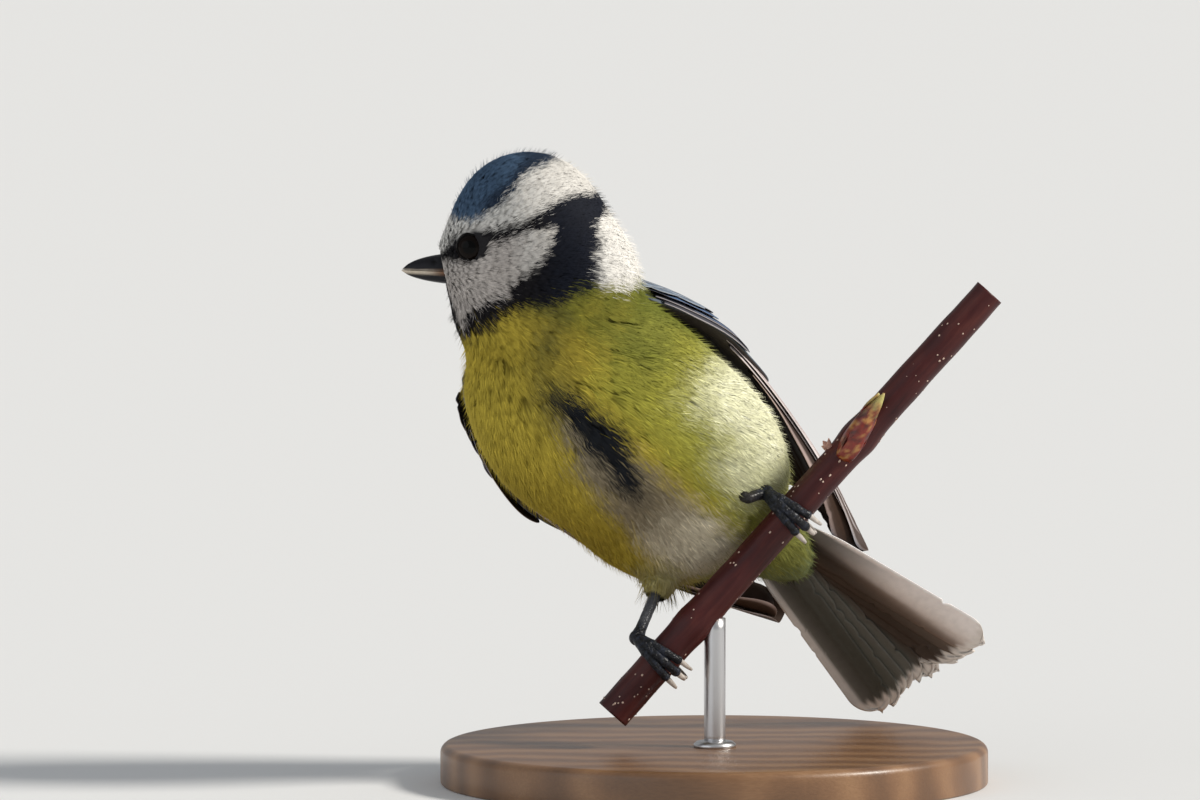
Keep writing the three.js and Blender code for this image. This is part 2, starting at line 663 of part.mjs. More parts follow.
function buildModel() {
  const group = new THREE.Group();
  const torsoForm = { frame: body, centre: [-4, 0, 0.5], around: 36, along: 26 };
  const neckForm = { frame: body, centre: napeLobe.centre, around: 32, along: 18 };
  const forward = body.axes[0];
  const backward = forward.clone().negate();
  const collar = head.origin.clone().addScaledVector(collarAxis(), -collarDrop);
  const shoulder = body.point([shoulderCut, 2, 0]);
  const rumpEnd = body.point([tailCut, ...rumpMiddle]);

  const torsoWhole = wrap({ ...torsoForm, longest: 30 });
  const inflatedTorso = wrap({ ...torsoForm, lift: joinGap, longest: 30.3 })
    .subtract(beyond(shoulder.clone().addScaledVector(forward, joinGap), forward));
  const neckWhole = wrap({ ...neckForm, longest: 22 });
  const neckTop = collar.clone().addScaledVector(collarAxis(), -joinGap);
  const torso = torsoWhole.subtract(beyond(shoulder, forward))
    .subtract(beyond(rumpEnd, backward)).subtract(beyond(neckTop, collarAxis()));
  const neckFoot = shoulder.clone().addScaledVector(forward, joinGap);
  const neck = neckWhole.subtract(beyond(neckFoot, backward)).subtract(beyond(neckTop, collarAxis()));
  const inflatedNeck = wrap({ ...neckForm, lift: joinGap, longest: 22.3 });
  const down = collarAxis().negate();
  const headForm = { frame: head, centre: [0, 0, 0], around: 32, along: 22, pole: 'up', longest: 21 };
  const sockets = union([eye(1, eyeRadius + joinGap), eye(-1, eyeRadius + joinGap)]);
  const headNode = union([wrap(headForm).subtract(beyond(collar, down)), lid(1), lid(-1)]).subtract(sockets);
  const inflatedHead = wrap({ ...headForm, lift: joinGap });

  group.add(node('head', headNode, 0x3f5f8f, 0.9));
  group.add(node('neck', neck, 0x1c2740, 0.9));
  group.add(node('torso', torso, 0xc9b83a, 0.9));
  group.add(node('eye_left', eye(1, eyeRadius), 0x080808, 0.08));
  group.add(node('eye_right', eye(-1, eyeRadius), 0x080808, 0.08));

  const mouth = new THREE.BoxGeometry(20, 12, joinGap).translate(15, 0, mouthHeight);
  const mouthSlot = solid(mouth.applyMatrix4(head.matrix()));
  const wholeBill = bill().subtract(inflatedHead).subtract(mouthSlot);
  const above = beyond(head.point([15, 0, mouthHeight]), head.axes[2]);
  const below = beyond(head.point([15, 0, mouthHeight]), head.axes[2].clone().negate());
  const upperBill = wholeBill.subtract(below).subtract(nostril(1)).subtract(nostril(-1));
  group.add(node('bill_upper', upperBill, 0x2a2b30, 0.45));
  group.add(node('bill_lower', wholeBill.subtract(above), 0x3a3a40, 0.45));

  const inflated = { inflatedTorso, inflatedNeck, inflatedHead };
  group.add(node('wing_left', wing(1, 11, inflated), 0x5d7396, 0.8));
  group.add(node('wing_right', wing(-1, 23, inflated), 0x5d7396, 0.8));
  group.add(node('tail', tail(), 0x6d7583, 0.8));

  for (const [name, leg] of Object.entries(legs)) {
    group.add(node(`thigh_${name}`, thigh(leg, inflatedTorso), 0xb9b58c, 0.95));
    group.add(node(`shank_${name}`, shank(leg).subtract(inflatedTorso), 0x59616e, 0.6));
    group.add(node(`foot_${name}`, foot(leg, inflatedTorso), 0x2b3038, 0.6));
  }

  group.add(node('perch', perch(), 0x3a1a1c, 0.6));
  group.add(node('perch_bud', bud(), 0x7a2f22, 0.6));
  group.add(node('stand_base', standBase(), 0x6b4a2f, 0.5));
  group.add(node('stand_rod', standRod(), 0xb8babd, 0.3, 1));
  return group;
}

export default buildModel();
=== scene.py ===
import math
import bmesh
import bpy
import numpy as np
from mathutils import Matrix, Vector, noise


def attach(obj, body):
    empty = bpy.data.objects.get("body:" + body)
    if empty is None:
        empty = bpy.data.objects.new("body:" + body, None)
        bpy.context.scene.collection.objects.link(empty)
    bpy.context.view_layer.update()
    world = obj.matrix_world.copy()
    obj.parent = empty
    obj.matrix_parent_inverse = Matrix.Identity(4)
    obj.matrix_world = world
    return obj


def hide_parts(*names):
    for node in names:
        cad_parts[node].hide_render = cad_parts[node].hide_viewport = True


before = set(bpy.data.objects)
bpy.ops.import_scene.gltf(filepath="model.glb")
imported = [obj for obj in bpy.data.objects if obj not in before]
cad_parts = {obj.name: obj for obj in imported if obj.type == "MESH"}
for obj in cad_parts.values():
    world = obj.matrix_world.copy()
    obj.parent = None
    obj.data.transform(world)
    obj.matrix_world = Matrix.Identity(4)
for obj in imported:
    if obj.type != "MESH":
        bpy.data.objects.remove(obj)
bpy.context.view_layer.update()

metre = 0.001  # sizes below are millimetres, and Blender's own are metres

# places and directions shared by every piece

pose = {
    "grip": (1.7, -5, 30), "lean": 5,
    "bodyFromGrip": (-16.9, 2, 24), "bodyRise": 45, "bodyTurn": 25, "bodyRoll": 13,
    "headFromBody": (-13.6, -9, 29.2), "headTurn": 3, "headNod": 8,
}


def unit(vectors):
    vectors = np.asarray(vectors, float)
    return vectors / np.maximum(np.linalg.norm(vectors, axis=-1, keepdims=True), 1e-9)


class Axes:  # three unit directions about a point, in millimetres
    def __init__(self, origin, x, y, z):
        self.origin = np.array(origin, float)
        self.rows = np.array([x, y, z], float)

    def direction(self, local):
        return np.asarray(local, float) @ self.rows

    def point(self, local):
        return self.origin + self.direction(local)

    def local(self, points):
        return (np.asarray(points, float) - self.origin) @ self.rows.T


def turned(degrees):
    return math.cos(math.radians(degrees)), math.sin(math.radians(degrees))


def makeSight():  # the viewer's upright plane through the grip
    c, s = turned(pose["lean"])
    return Axes(pose["grip"], (1, 0, 0), (0, c, -s), (0, s, c))


def makeBody():  # tail to head, the bird's left, its back
    c, s = turned(pose["bodyRise"])
    ct, st = turned(pose["bodyTurn"])
    cr, sr = turned(pose["bodyRoll"])
    forward = ct * np.array([-c, 0, s]) + st * np.array([0, -1, 0])
    flatLeft = np.array([s, 0, c])
    left = cr * flatLeft - sr * np.cross(forward, flatLeft)
    back = np.cross(forward, left)
    return Axes(sight.point(pose["bodyFromGrip"]), *(sight.direction(a) for a in (forward, left, back)))


def makeHead():  # along the bill, the bird's left, the crown
    ct, st = turned(pose["headTurn"])
    cn, sn = turned(pose["headNod"])
    forward = np.array([-ct, -st, 0])
    crown = np.array([0, -sn, cn])
    crown = unit(crown - crown @ forward * forward)
    place = np.add(pose["bodyFromGrip"], pose["headFromBody"])
    return Axes(sight.point(place), *(sight.direction(a) for a in (forward, np.cross(crown, forward), crown)))


sight = makeSight()
body = makeBody()
head = makeHead()


def smooth(low, high, value):
    t = np.clip((np.asarray(value, float) - low) / (high - low), 0, 1)
    return t * t * (3 - 2 * t)


def profile(stations, place):  # smooth curve through stations of place and size
    xs, ys = np.array(stations, float).T
    last = len(xs) - 1
    before = np.maximum(np.arange(last + 1) - 1, 0)
    after = np.minimum(np.arange(last + 1) + 1, last)
    slope = (ys[after] - ys[before]) / (xs[after] - xs[before])
    place = np.clip(np.asarray(place, float), xs[0], xs[-1])
    i = np.clip(np.searchsorted(xs, place, side="right") - 1, 0, last - 1)
    span = xs[i + 1] - xs[i]
    t = (place - xs[i]) / span
    rise = t * t * (3 - 2 * t)
    lift = t * (1 - t) ** 2 * span * slope[i] - t * t * (1 - t) * span * slope[i + 1]
    return ys[i] * (1 - rise) + ys[i + 1] * rise + lift


# materials

class Value:  # a shader socket that takes part in sums
    def __init__(self, finish, socket):
        self.finish = finish
        self.socket = socket

    def maths(self, operation, other=0.0, reflected=False):
        pair = [other, self] if reflected else [self, other]
        return self.finish.node("ShaderNodeMath", {"operation": operation}, pair)

    def __add__(self, other):
        return self.maths("ADD", other)

    def __sub__(self, other):
        return self.maths("SUBTRACT", other)

    def __rsub__(self, other):
        return self.maths("SUBTRACT", other, True)

    def __mul__(self, other):
        return self.maths("MULTIPLY", other)

    __radd__ = __add__
    __rmul__ = __mul__


class Finish:  # one material and its nodes
    def __init__(self, name, **constants):
        self.material = bpy.data.materials.new(name)
        self.material.use_nodes = True
        self.tree = self.material.node_tree
        self.shader = self.tree.nodes["Principled BSDF"]
        self.feed(**constants)

    def node(self, kind, settings=None, inputs=None, output=0):
        made = self.tree.nodes.new(kind)
        for key, setting in (settings or {}).items():
            if key == "stops":
                self.setStops(made.color_ramp, setting)
            else:
                setattr(made, key, setting)
        pairs = inputs.items() if isinstance(inputs, dict) else enumerate(inputs or [])
        for key, given in pairs:
            self.connect(given, made.inputs[key])
        return Value(self, made.outputs[output])

    def connect(self, given, socket):
        if isinstance(given, Value):
            self.tree.links.new(given.socket, socket)
        else:
            socket.default_value = given

    def setStops(self, ramp, stops):
        while len(ramp.elements) < len(stops):
            ramp.elements.new(1)
        for element, (place, colour) in zip(ramp.elements, stops):
            element.position = place
            element.color = (*colour, 1)

    def feed(self, **given):  # baseColor feeds the socket Base Color, and so on
        for key, value in given.items():
            spaced = key[0].upper() + "".join(" " + c if c.isupper() else c for c in key[1:])
            socket = "Specular IOR Level" if key == "specularIORLevel" else spaced
            self.connect(value, self.shader.inputs[socket])

    def attribute(self):
        return self.node("ShaderNodeAttribute", {"attribute_name": "tint"})

    def place(self, scale=(1, 1, 1), turn=(0, 0, 0)):  # object coordinates in metres
        where = self.node("ShaderNodeTexCoord", output=3)
        return self.node("ShaderNodeMapping", {}, {"Vector": where, "Rotation": turn, "Scale": scale})

    def noise(self, place, scale, detail=3.0, roughness=0.5):
        return self.node("ShaderNodeTexNoise", {},
                         {"Vector": place, "Scale": scale, "Detail": detail, "Roughness": roughness})

    def mix(self, share, first, second, blend="MIX"):
        return self.node("ShaderNodeMix", {"data_type": "RGBA", "blend_type": blend},
                         {0: share, 6: first, 7: second}, output=2)

    def shaded(self, shade):  # the painted tint, made darker or lighter
        grey = self.node("ShaderNodeCombineColor", {}, [shade] * 3)
        return self.mix(1.0, self.attribute(), grey, "MULTIPLY")

    def bump(self, height, strength, distance):
        return self.node("ShaderNodeBump", {},
                         {"Height": height, "Strength": strength, "Distance": distance})


# making meshes

def addPiece(name, mesh, finish, nodes):
    piece = bpy.data.objects.new(name, mesh)
    bpy.context.collection.objects.link(piece)
    mesh.materials.append(finish.material)
    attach(piece, "root")
    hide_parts(*nodes)


def meshFromArrays(name, points, corners, tints=None, places=None, mapName="OFBake", normals=None):
    # points in millimetres; corners is one row of vertex numbers for each face
    mesh = bpy.data.meshes.new(name)
    sides = corners.shape[1]
    mesh.vertices.add(len(points))
    mesh.vertices.foreach_set("co", (points * metre).astype(np.float32).ravel())
    mesh.loops.add(corners.size)
    mesh.loops.foreach_set("vertex_index", corners.astype(np.int32).ravel())
    mesh.polygons.add(len(corners))
    mesh.polygons.foreach_set("loop_start", np.arange(0, corners.size, sides, dtype=np.int32))
    mesh.polygons.foreach_set("use_smooth", np.ones(len(corners), bool))
    mesh.update(calc_edges=True)
    if tints is not None:
        paint(mesh, tints)
    if places is not None:
        layer = mesh.uv_layers.new(name=mapName)
        layer.uv.foreach_set("vector", places[corners.ravel()].astype(np.float32).ravel())
    if normals is not None:
        mesh.normals_split_custom_set_from_vertices(normals.astype(np.float32))
    return mesh


def paint(mesh, tints):
    rows = np.ones((len(tints), 4), np.float32)
    rows[:, :3] = tints
    layer = mesh.color_attributes.new("tint", "FLOAT_COLOR", "POINT")
    layer.data.foreach_set("color", rows.ravel())


def pointsOf(mesh):
    points = np.empty(len(mesh.vertices) * 3, np.float32)
    mesh.vertices.foreach_get("co", points)
    return points.reshape(-1, 3).astype(float) / metre


def finishMesh(bm, name):
    bmesh.ops.recalc_face_normals(bm, faces=bm.faces)
    mesh = bpy.data.meshes.new(name)
    bm.to_mesh(mesh)
    bm.free()
    mesh.shade_smooth()
    return mesh


def ringMatrix(centre, side, top, width, height):
    along = np.cross(side, top)
    columns = [np.append(side * width * metre, 0), np.append(top * height * metre, 0),
               np.append(along * metre, 0), np.append(np.asarray(centre) * metre, 1)]
    return Matrix(np.array(columns).T.tolist())


def edgesOf(verts):  # each edge once, always in the same order
    return list(dict.fromkeys(e for v in verts for e in v.link_edges))


def sweep(bm, centres, up, widths, heights=None, sides=16):
    # a closed bar along centres, drawn out ring by ring
    centres = np.asarray(centres, float)
    heights = widths if heights is None else heights
    heading = unit(np.gradient(centres, axis=0))
    side = unit(np.cross(np.broadcast_to(up, heading.shape), heading))
    top = np.cross(heading, side)
    rings = [ringMatrix(*row) for row in zip(centres, side, top, widths, heights)]
    loop = bmesh.ops.create_circle(bm, segments=sides, radius=1, matrix=rings[0])["verts"]
    edges = edgesOf(loop)
    bmesh.ops.edgeloop_fill(bm, edges=edges)
    for before, after in zip(rings, rings[1:]):
        grown = bmesh.ops.extrude_edge_only(bm, edges=edges)["geom"]
        verts = [g for g in grown if isinstance(g, bmesh.types.BMVert)]
        fresh = set(verts)
        edges = [g for g in grown if isinstance(g, bmesh.types.BMEdge) and set(g.verts) <= fresh]
        bmesh.ops.transform(bm, matrix=after @ before.inverted(), verts=verts)
    bmesh.ops.edgeloop_fill(bm, edges=edges)


def curveThrough(points, count):  # evenly spread points on a smooth curve
    points = np.asarray(points, float)
    steps = np.append(0, np.cumsum(np.linalg.norm(np.diff(points, axis=0), axis=1)))
    where = np.linspace(0, steps[-1], count)
    return np.stack([profile(np.stack([steps, points[:, k]], 1), where) for k in range(3)], 1)


# camera, floor and light

view = {
    "frameCentre": (-18.8, 27.9), "frameWidth": 179.1, "distance": 2500,
    "floor": (0.76, 0.77, 0.78), "sky": (0.86, 0.88, 0.90), "skyStrength": 0.42,
    "sunStrength": 3.5, "sunSoftness": 14, "sunFrom": (0.80, -0.16, 0.58),
    "fillStrength": 0.55, "fillFrom": (-0.75, -0.6, 0.25),
}


def aim(item, place, target, up):
    back = unit(np.subtract(place, target))
    side = unit(np.cross(up, back))
    columns = np.array([side, np.cross(back, side), back]).T
    item.matrix_world = Matrix.Translation(Vector(place) * metre) @ Matrix(columns.tolist()).to_4x4()


def addCamera():
    camera = bpy.data.objects.new("camera", bpy.data.cameras.new("camera"))
    bpy.context.collection.objects.link(camera)
    x, z = view["frameCentre"]
    camera.data.sensor_width = 36
    camera.data.lens = 36 * view["distance"] / view["frameWidth"]
    camera.data.clip_end = 50
    aim(camera, sight.point((x, -view["distance"], z)), sight.point((x, 0, z)), sight.rows[2])
    bpy.context.scene.camera = camera


def addSun(name, origin, strength, softness, colour):
    lamp = bpy.data.lights.new(name, "SUN")
    lamp.energy = strength
    lamp.angle = math.radians(softness)
    lamp.color = colour
    sun = bpy.data.objects.new(name, lamp)
    bpy.context.collection.objects.link(sun)
    aim(sun, np.multiply(origin, 1000), (0, 0, 0), (0, 0.1, 1))


def addFloor():
    bm = bmesh.new()
    bmesh.ops.create_grid(bm, x_segments=2, y_segments=2, size=7)
    finish = Finish("floorPaper", roughness=0.9)
    finish.feed(baseColor=(*view["floor"], 1))
    floor = bpy.data.objects.new("floor", finishMesh(bm, "floor"))
    floor.data.materials.append(finish.material)
    bpy.context.collection.objects.link(floor)


def addLight():
    addSun("keyLight", view["sunFrom"], view["sunStrength"], view["sunSoftness"], (1, 0.95, 0.87))
    addSun("fillLight", view["fillFrom"], view["fillStrength"], 60, (0.9, 0.95, 1))
    world = bpy.data.worlds.new("studio")
    bpy.context.scene.world = world
    world.use_nodes = True
    sky = world.node_tree.nodes["Background"]
    sky.inputs[0].default_value = (*view["sky"], 1)
    sky.inputs[1].default_value = view["skyStrength"]
    bpy.context.scene.view_settings.view_transform = "Standard"


addCamera()
addFloor()
addLight()
print("camera, floor and light")

# the bird's shape

form = {
    "lobes": [  # frame, centre, radii, turn in degrees
        (body, (4, 0.1, 0), (19.5, 17.8, 16.5), 0),
        (body, (-12, 0.6, 1), (18.5, 16.4, 14), 0),
        (body, (-26.5, 3.2, 4), (15, 6.8, 5.6), -4),
        (body, (19.5, 5.4, 4.8), (11.5, 12.6, 12), 0),
        (body, (13.5, -4.6, -2), (10.5, 9, 10), 0),
        (body, (-6.5, 9.2, -2.5), (18.5, 9.8, 8.5), -3),
        (head, (-1, 0, 0.2), (11.4, 10.9, 11.5), 0),
        (head, (6, 0, -4.5), (6.2, 7.3, 5.6), 0),
        (head, (-8.5, 0, -6.5), (8.5, 9, 9), 0),
        (head, (2.2, 0, -12), (7.8, 7.4, 7), 0),
    ],
    "blend": 1.6,
    "faceDepth": 0.45, "crownDepth": 0.65, "bodyDepth": 1.5,
    "legBlend": 0.9, "voxel": 0.75,
    "thighs": {"left": ((0.2, 1.4, 16.2), (-2, 4, 17.5)), "right": ((-10, 5.6, 0), (-7.6, 9.5, 7))},
    "thighRadii": (0.9, 2.9),
}


def lobeDistance(points, axes, centre, radii, turn):
    q = axes.local(points) - np.array(centre, float)
    c, s = turned(turn)
    q = np.stack([q[..., 0] * c + q[..., 1] * s, q[..., 1] * c - q[..., 0] * s, q[..., 2]], -1)
    near = np.linalg.norm(q / np.array(radii), axis=-1)
    steep = np.linalg.norm(q / np.array(radii) ** 2, axis=-1)
    return near * (near - 1) / (steep + 1e-9)


def softLeast(distances, blend):
    distances = np.stack(distances)
    least = distances.min(0)
    return least - blend * np.log(np.exp((least - distances) / blend).sum(0))


def outline(points):  # distance outside the feathered outline
    return softLeast([lobeDistance(points, *lobe) for lobe in form["lobes"]], form["blend"])


def coatDepth(points):
    place = head.local(points)
    fromFace = np.linalg.norm(place - np.array([9, 0, -4]), axis=-1)
    fromHead = np.linalg.norm(place, axis=-1)
    depth = form["faceDepth"] + (form["crownDepth"] - form["faceDepth"]) * smooth(5, 12, fromFace)
    return depth + (form["bodyDepth"] - depth) * smooth(11, 24, fromHead)


def thighDistance(points, side):
    knee, inside = (sight.point(p) for p in form["thighs"][side])
    axis = inside - knee
    t = np.clip((points - knee) @ axis / (axis @ axis), 0, 1)
    low, high = form["thighRadii"]
    radius = low + (high - low) * smooth(0, 0.8, t)
    return np.linalg.norm(points - knee - t[..., None] * axis, axis=-1) - radius


def overSkin(points):  # height over the skin
    trunk = outline(points) + coatDepth(points)
    return softLeast([trunk, thighDistance(points, "left"), thighDistance(points, "right")], form["legBlend"])


def tibia(points):  # distance from the one thigh that stands clear of the belly
    return thighDistance(points, "right")


def steepest(points, step=0.05):
    steps = step * np.eye(3)
    return np.stack([overSkin(points + s) - overSkin(points - s) for s in steps], -1) / (2 * step)


def settle(points, height, rounds=2):  # moves points to a height over the skin
    for _ in range(rounds):
        slope = steepest(points)
        miss = overSkin(points) - height
        size = np.maximum((slope ** 2).sum(-1, keepdims=True), 0.2)
        points = points - np.clip(miss[..., None], -2, 2) * slope / size
    return points


# markings, with painted light and shade, as colours over places on the bird

tints = {
    "cap": (0.070, 0.125, 0.21), "capDark": (0.011, 0.018, 0.036),
    "white": (0.72, 0.70, 0.66), "cheek": (0.50, 0.46, 0.43), "stripe": (0.005, 0.004, 0.006),
    "collar": (0.004, 0.006, 0.014), "nape": (0.78, 0.76, 0.72),
    "yellow": (0.49, 0.375, 0.045), "olive": (0.135, 0.150, 0.020), "lime": (0.31, 0.31, 0.055),
    "belly": (0.27, 0.225, 0.145), "fluff": (0.64, 0.58, 0.43), "streak": (0.008, 0.010, 0.014),
    "vent": (0.19, 0.195, 0.042), "sunny": (0.88, 0.88, 0.62), "amber": (0.37, 0.275, 0.030),
    "mantle": (0.110, 0.135, 0.065), "rump": (0.18, 0.21, 0.09), "thigh": (0.42, 0.38, 0.19),
    "dusk": (0.095, 0.095, 0.028), "flank": (0.34, 0.32, 0.042), "brow": (0.30, 0.28, 0.27),
}

marks = {  # lines on the head, in degrees round from the bill and degrees up
    "capEdge": [(0, 15), (21, 14), (49, 16), (62, 24), (74, 32), (82, 43), (90, 51), (106, 59), (140, 63),
                (180, 62)],
    "stripeHigh": [(0, -14), (18, -11), (25, -6), (35, 0), (51, 3), (63, 5), (75, 8.5), (86, 12), (96, 16),
                   (105, 20), (115, 25.5), (126, 30), (139, 31), (152, 29.5), (165, 27), (180, 26)],
    "stripeLow": [(0, -20), (19, -18), (29, -17.3), (41, -14.2), (47, -8), (53, -3.4), (59, -1.6), (75, 1.8),
                  (86, 4.9), (96, 7.6), (107, 8.8), (180, 9.9)],
    "stripeWider": [(30, 0), (46, 2.6), (66, 2.6), (90, 1.4), (120, 0)],
    "browShade": [(28, 0), (40, 0.6), (56, 0.6), (72, 0)],
    "collarLow": [(0, -61.5), (22, -60.5), (39, -59), (55, -57.2), (68, -53.4), (81, -50), (93, -47.5),
                  (109, -43), (120, -39), (129, -33), (135, -29), (142, -27), (161, -25.5), (180, -23.8)],
}

upright = {  # lines on the head that stand upright, in degrees up and degrees round
    "cheekRear": [(-64, 14), (-53, 32), (-50, 45), (-48, 58), (-46, 71), (-45, 77), (-39, 80), (-34, 88),
                  (-27, 95), (-19, 103), (-11, 108), (-1, 113), (9, 116)],
    "collarRear": [(-40, 138), (-26, 140), (-21, 139), (-14, 140), (-7, 143), (0, 146), (6, 147), (10, 154),
                   (14, 172), (26, 190)],
}

breast = {  # lines on the underside, in places along the body and places or half widths across it
    "dusk": [(12, -1), (18, 1.5), (24, 8)],
    "pale": [(-34, 7.5), (-20, 7), (-8, 5.6), (4, 4.4), (12, 2.2), (17, 0.6)],
    "streak": [(-8, -1.6), (-3, -0.9), (2, 0.5), (7, 1.4), (10.5, 1.2), (13.5, 0.5), (19, -2.3)],
    "streakReach": [(-8, 0.3), (-3, 1.7), (2, 2.5), (7, 2.9), (11, 2.4), (15, 1.7), (19, 0.9)],
}


def mixed(first, second, share):  # either may be one colour for all places
    first = np.asarray(first, float)
    return first + (np.asarray(second, float) - first) * share[..., None]


def roundHead(points):
    place = head.local(points)
    turn = np.degrees(np.arctan2(np.abs(place[..., 1]), place[..., 0]))
    rise = np.degrees(np.arctan2(place[..., 2], np.hypot(place[..., 0], place[..., 1])))
    return place, turn, rise


def bodyTint(points):
    place = body.local(points)
    x, y, z = place[..., 0], place[..., 1], place[..., 2]
    around = np.degrees(np.arctan2(z, np.abs(y) + 1e-6))  # -90 belly, 0 side, 90 back
    # the bird's left, where the key light falls: the flank, lime and olive tints and the painted highlight go
    # on this side only, so they are partly painted light and shade
    side = smooth(-4, 5, y)
    patch = np.sin(0.9 * x + 0.5 * y) * np.sin(0.7 * y - 0.4 * x + 1)
    # painted shade: a darker, warmer yellow on the bird's right breast, which faces away from the key light
    tint = mixed(tints["yellow"], tints["amber"], smooth(-6, -13, y) * smooth(14, 4, x))
    # greener flank and lime tints, the flank's own colour laid on the lit side only: partly painted light
    tint = mixed(tint, tints["flank"], smooth(-82, -62, around) * smooth(18, 10, x) * side)
    tint = mixed(tint, tints["lime"], smooth(-66, -42, around) * smooth(9, -5, x) * side)
    # painted shade: darker olive over the shoulder on the lit side
    upper = (0.8 + 0.15 * patch) * smooth(-66, -30, around) * smooth(1, 10, x) * side
    tint = mixed(tint, tints["olive"], upper)
    # painted highlight: pale patches high on the flank and, as lower, low on the flank, where the key light
    # falls
    sunny = smooth(-50, -24, around + 6 * patch) * smooth(4, -4, x + 0.10 * (around + 30))
    sunny = sunny * smooth(-27, -17, x)
    lower = 0.75 * smooth(-6, -14, x) * smooth(-64, -46, around) * smooth(-24, -17, x)
    tint = mixed(tint, tints["sunny"], 0.9 * np.maximum(sunny, lower) * side)
    # painted shade below the folded wing
    tint = mixed(tint, tints["olive"], 0.85 * smooth(-14, 2, around) * smooth(-8, 4, x) * side)
    # painted shade: a dark band down the breast under the head
    dusk = smooth(6.5, 1.0, np.abs(y - profile(breast["dusk"], x))) * smooth(6, 14, x)
    tint = mixed(tint, tints["dusk"], (0.5 + 0.3 * patch) * dusk * (z < 0))
    middle = -1.3 + 0.06 * (x - 3)
    aside = np.abs(y - middle) - profile(breast["pale"], x) - 0.8 * patch
    pale = smooth(-40, -66, around) * smooth(1.2, -1.8, aside) * smooth(17, 9, x)
    tint = mixed(tint, mixed(tints["belly"], tints["fluff"], smooth(-8, -17, x + 2 * patch)), pale)
    aside = np.abs(y - profile(breast["streak"], x)) - profile(breast["streakReach"], x)
    streak = smooth(0.5, -0.5, aside) * smooth(-9, -4, x) * smooth(20, 13, x)
    tint = mixed(tint, tints["streak"], streak * (z < 0))
    tint = mixed(tint, tints["vent"], smooth(-23, -29, x))
    back = smooth(8, 34, around)
    tint = mixed(tint, tints["mantle"], back)
    return mixed(tint, tints["rump"], back * smooth(-14, -24, x))


def headTint(points):
    place, turn, rise = roundHead(points)
    overCap = rise - profile(marks["capEdge"], turn)
    cap = smooth(-1.6, 1.6, overCap)
    dark = smooth(24, 10, overCap) * smooth(42, 62, turn)
    tint = mixed(tints["white"], tints["cap"], cap)
    tint = mixed(tint, tints["capDark"], cap * np.maximum(0.85 * dark, 0.75 * smooth(80, 120, turn)))
    wider = profile(marks["stripeWider"], turn)
    high = profile(marks["stripeHigh"], turn)
    shaded = profile(marks["browShade"], turn) * smooth(12, 3, rise - high)
    tint = mixed(tint, tints["brow"], 0.7 * shaded * smooth(90, 60, turn))
    stripe = smooth(1.2, -1.2, rise - wider - high)
    tint = mixed(tint, tints["stripe"], stripe)
    tint = mixed(tint, tints["collar"], stripe * smooth(95, 125, turn))
    fromEye = np.hypot((place[..., 0] - 8.0) * 0.85, place[..., 2] + 1.7)
    tint = mixed(tint, tints["stripe"], smooth(2.65, 2.25, fromEye))
    cheek = smooth(1.2, -1.2, rise + wider - profile(marks["stripeLow"], turn)) * smooth(2.1, 2.5, fromEye)
    cheek = cheek * smooth(1.5, -1.5, turn - profile(upright["cheekRear"], rise))
    bib = profile([(-14, 3.2), (-9, 1.5), (-7, 1.3)], place[..., 2])
    chin = smooth(0.5, -0.5, np.abs(place[..., 1]) - bib)
    cheek = cheek * (1 - chin * smooth(-6, -7, place[..., 2]))
    # the cheek is painted greyer than the white, as painted shade on the face; it turns whiter again towards
    # the rear
    tint = mixed(tint, tints["cheek"], cheek)
    tint = mixed(tint, tints["white"], cheek * smooth(78, 100, turn) * 0.7)
    nape = smooth(-1, 4, turn - 3 - profile(upright["collarRear"], rise)) * smooth(14, 10, rise)
    return mixed(tint, tints["nape"], nape)


def plumageTint(points):
    place, turn, rise = roundHead(points)
    trunk = smooth(1.5, -1.5, rise + 2 * smooth(100, 60, turn) - profile(marks["collarLow"], turn))
    far = np.linalg.norm(place, axis=-1)
    trunk = np.maximum(trunk, smooth(19.5, 22.5, far))
    tint = mixed(headTint(points), bodyTint(points), trunk)
    fromLeg = tibia(points)
    clear = smooth(1.6, 0.4, fromLeg) * smooth(-1.6, -0.2, outline(points))
    return mixed(tint, tints["thigh"], np.maximum(clear, 0.75 * smooth(4.2, 1.4, fromLeg)))


# the skin under the feathers

def makeSkin():
    bm = bmesh.new()
    depth = form["bodyDepth"]
    for axes, centre, radii, turn in form["lobes"]:
        grown = Matrix.Diagonal([(radius - depth) * metre for radius in radii] + [1])
        place = Matrix.Translation(Vector(axes.point(centre)) * metre) @ Matrix(axes.rows.T.tolist()).to_4x4()
        place = place @ Matrix.Rotation(math.radians(turn), 4, "Z") @ grown
        bmesh.ops.create_icosphere(bm, subdivisions=4, radius=1, matrix=place)
    for knee, inside in form["thighs"].values():
        start, end = sight.point(knee), sight.point(inside)
        for t in np.linspace(0, 1, 8):
            radius = (form["thighRadii"][0] + 2.0 * t) * metre
            bmesh.ops.create_icosphere(bm, subdivisions=2, radius=radius,
                                       matrix=Matrix.Translation(Vector(start + (end - start) * t) * metre))
    mesh = finishMesh(bm, "skin")
    skin = bpy.data.objects.new("skin", mesh)
    bpy.context.collection.objects.link(skin)
    remesh = skin.modifiers.new("remesh", "REMESH")
    remesh.mode = "VOXEL"
    remesh.voxel_size = form["voxel"] * metre
    graph = bpy.context.evaluated_depsgraph_get()
    mesh = bpy.data.meshes.new_from_object(skin.evaluated_get(graph))
    bpy.data.objects.remove(skin)
    points = settle(pointsOf(mesh), 0, rounds=8)
    mesh.vertices.foreach_set("co", (points * metre).astype(np.float32).ravel())
    mesh.shade_smooth()
    return mesh, points


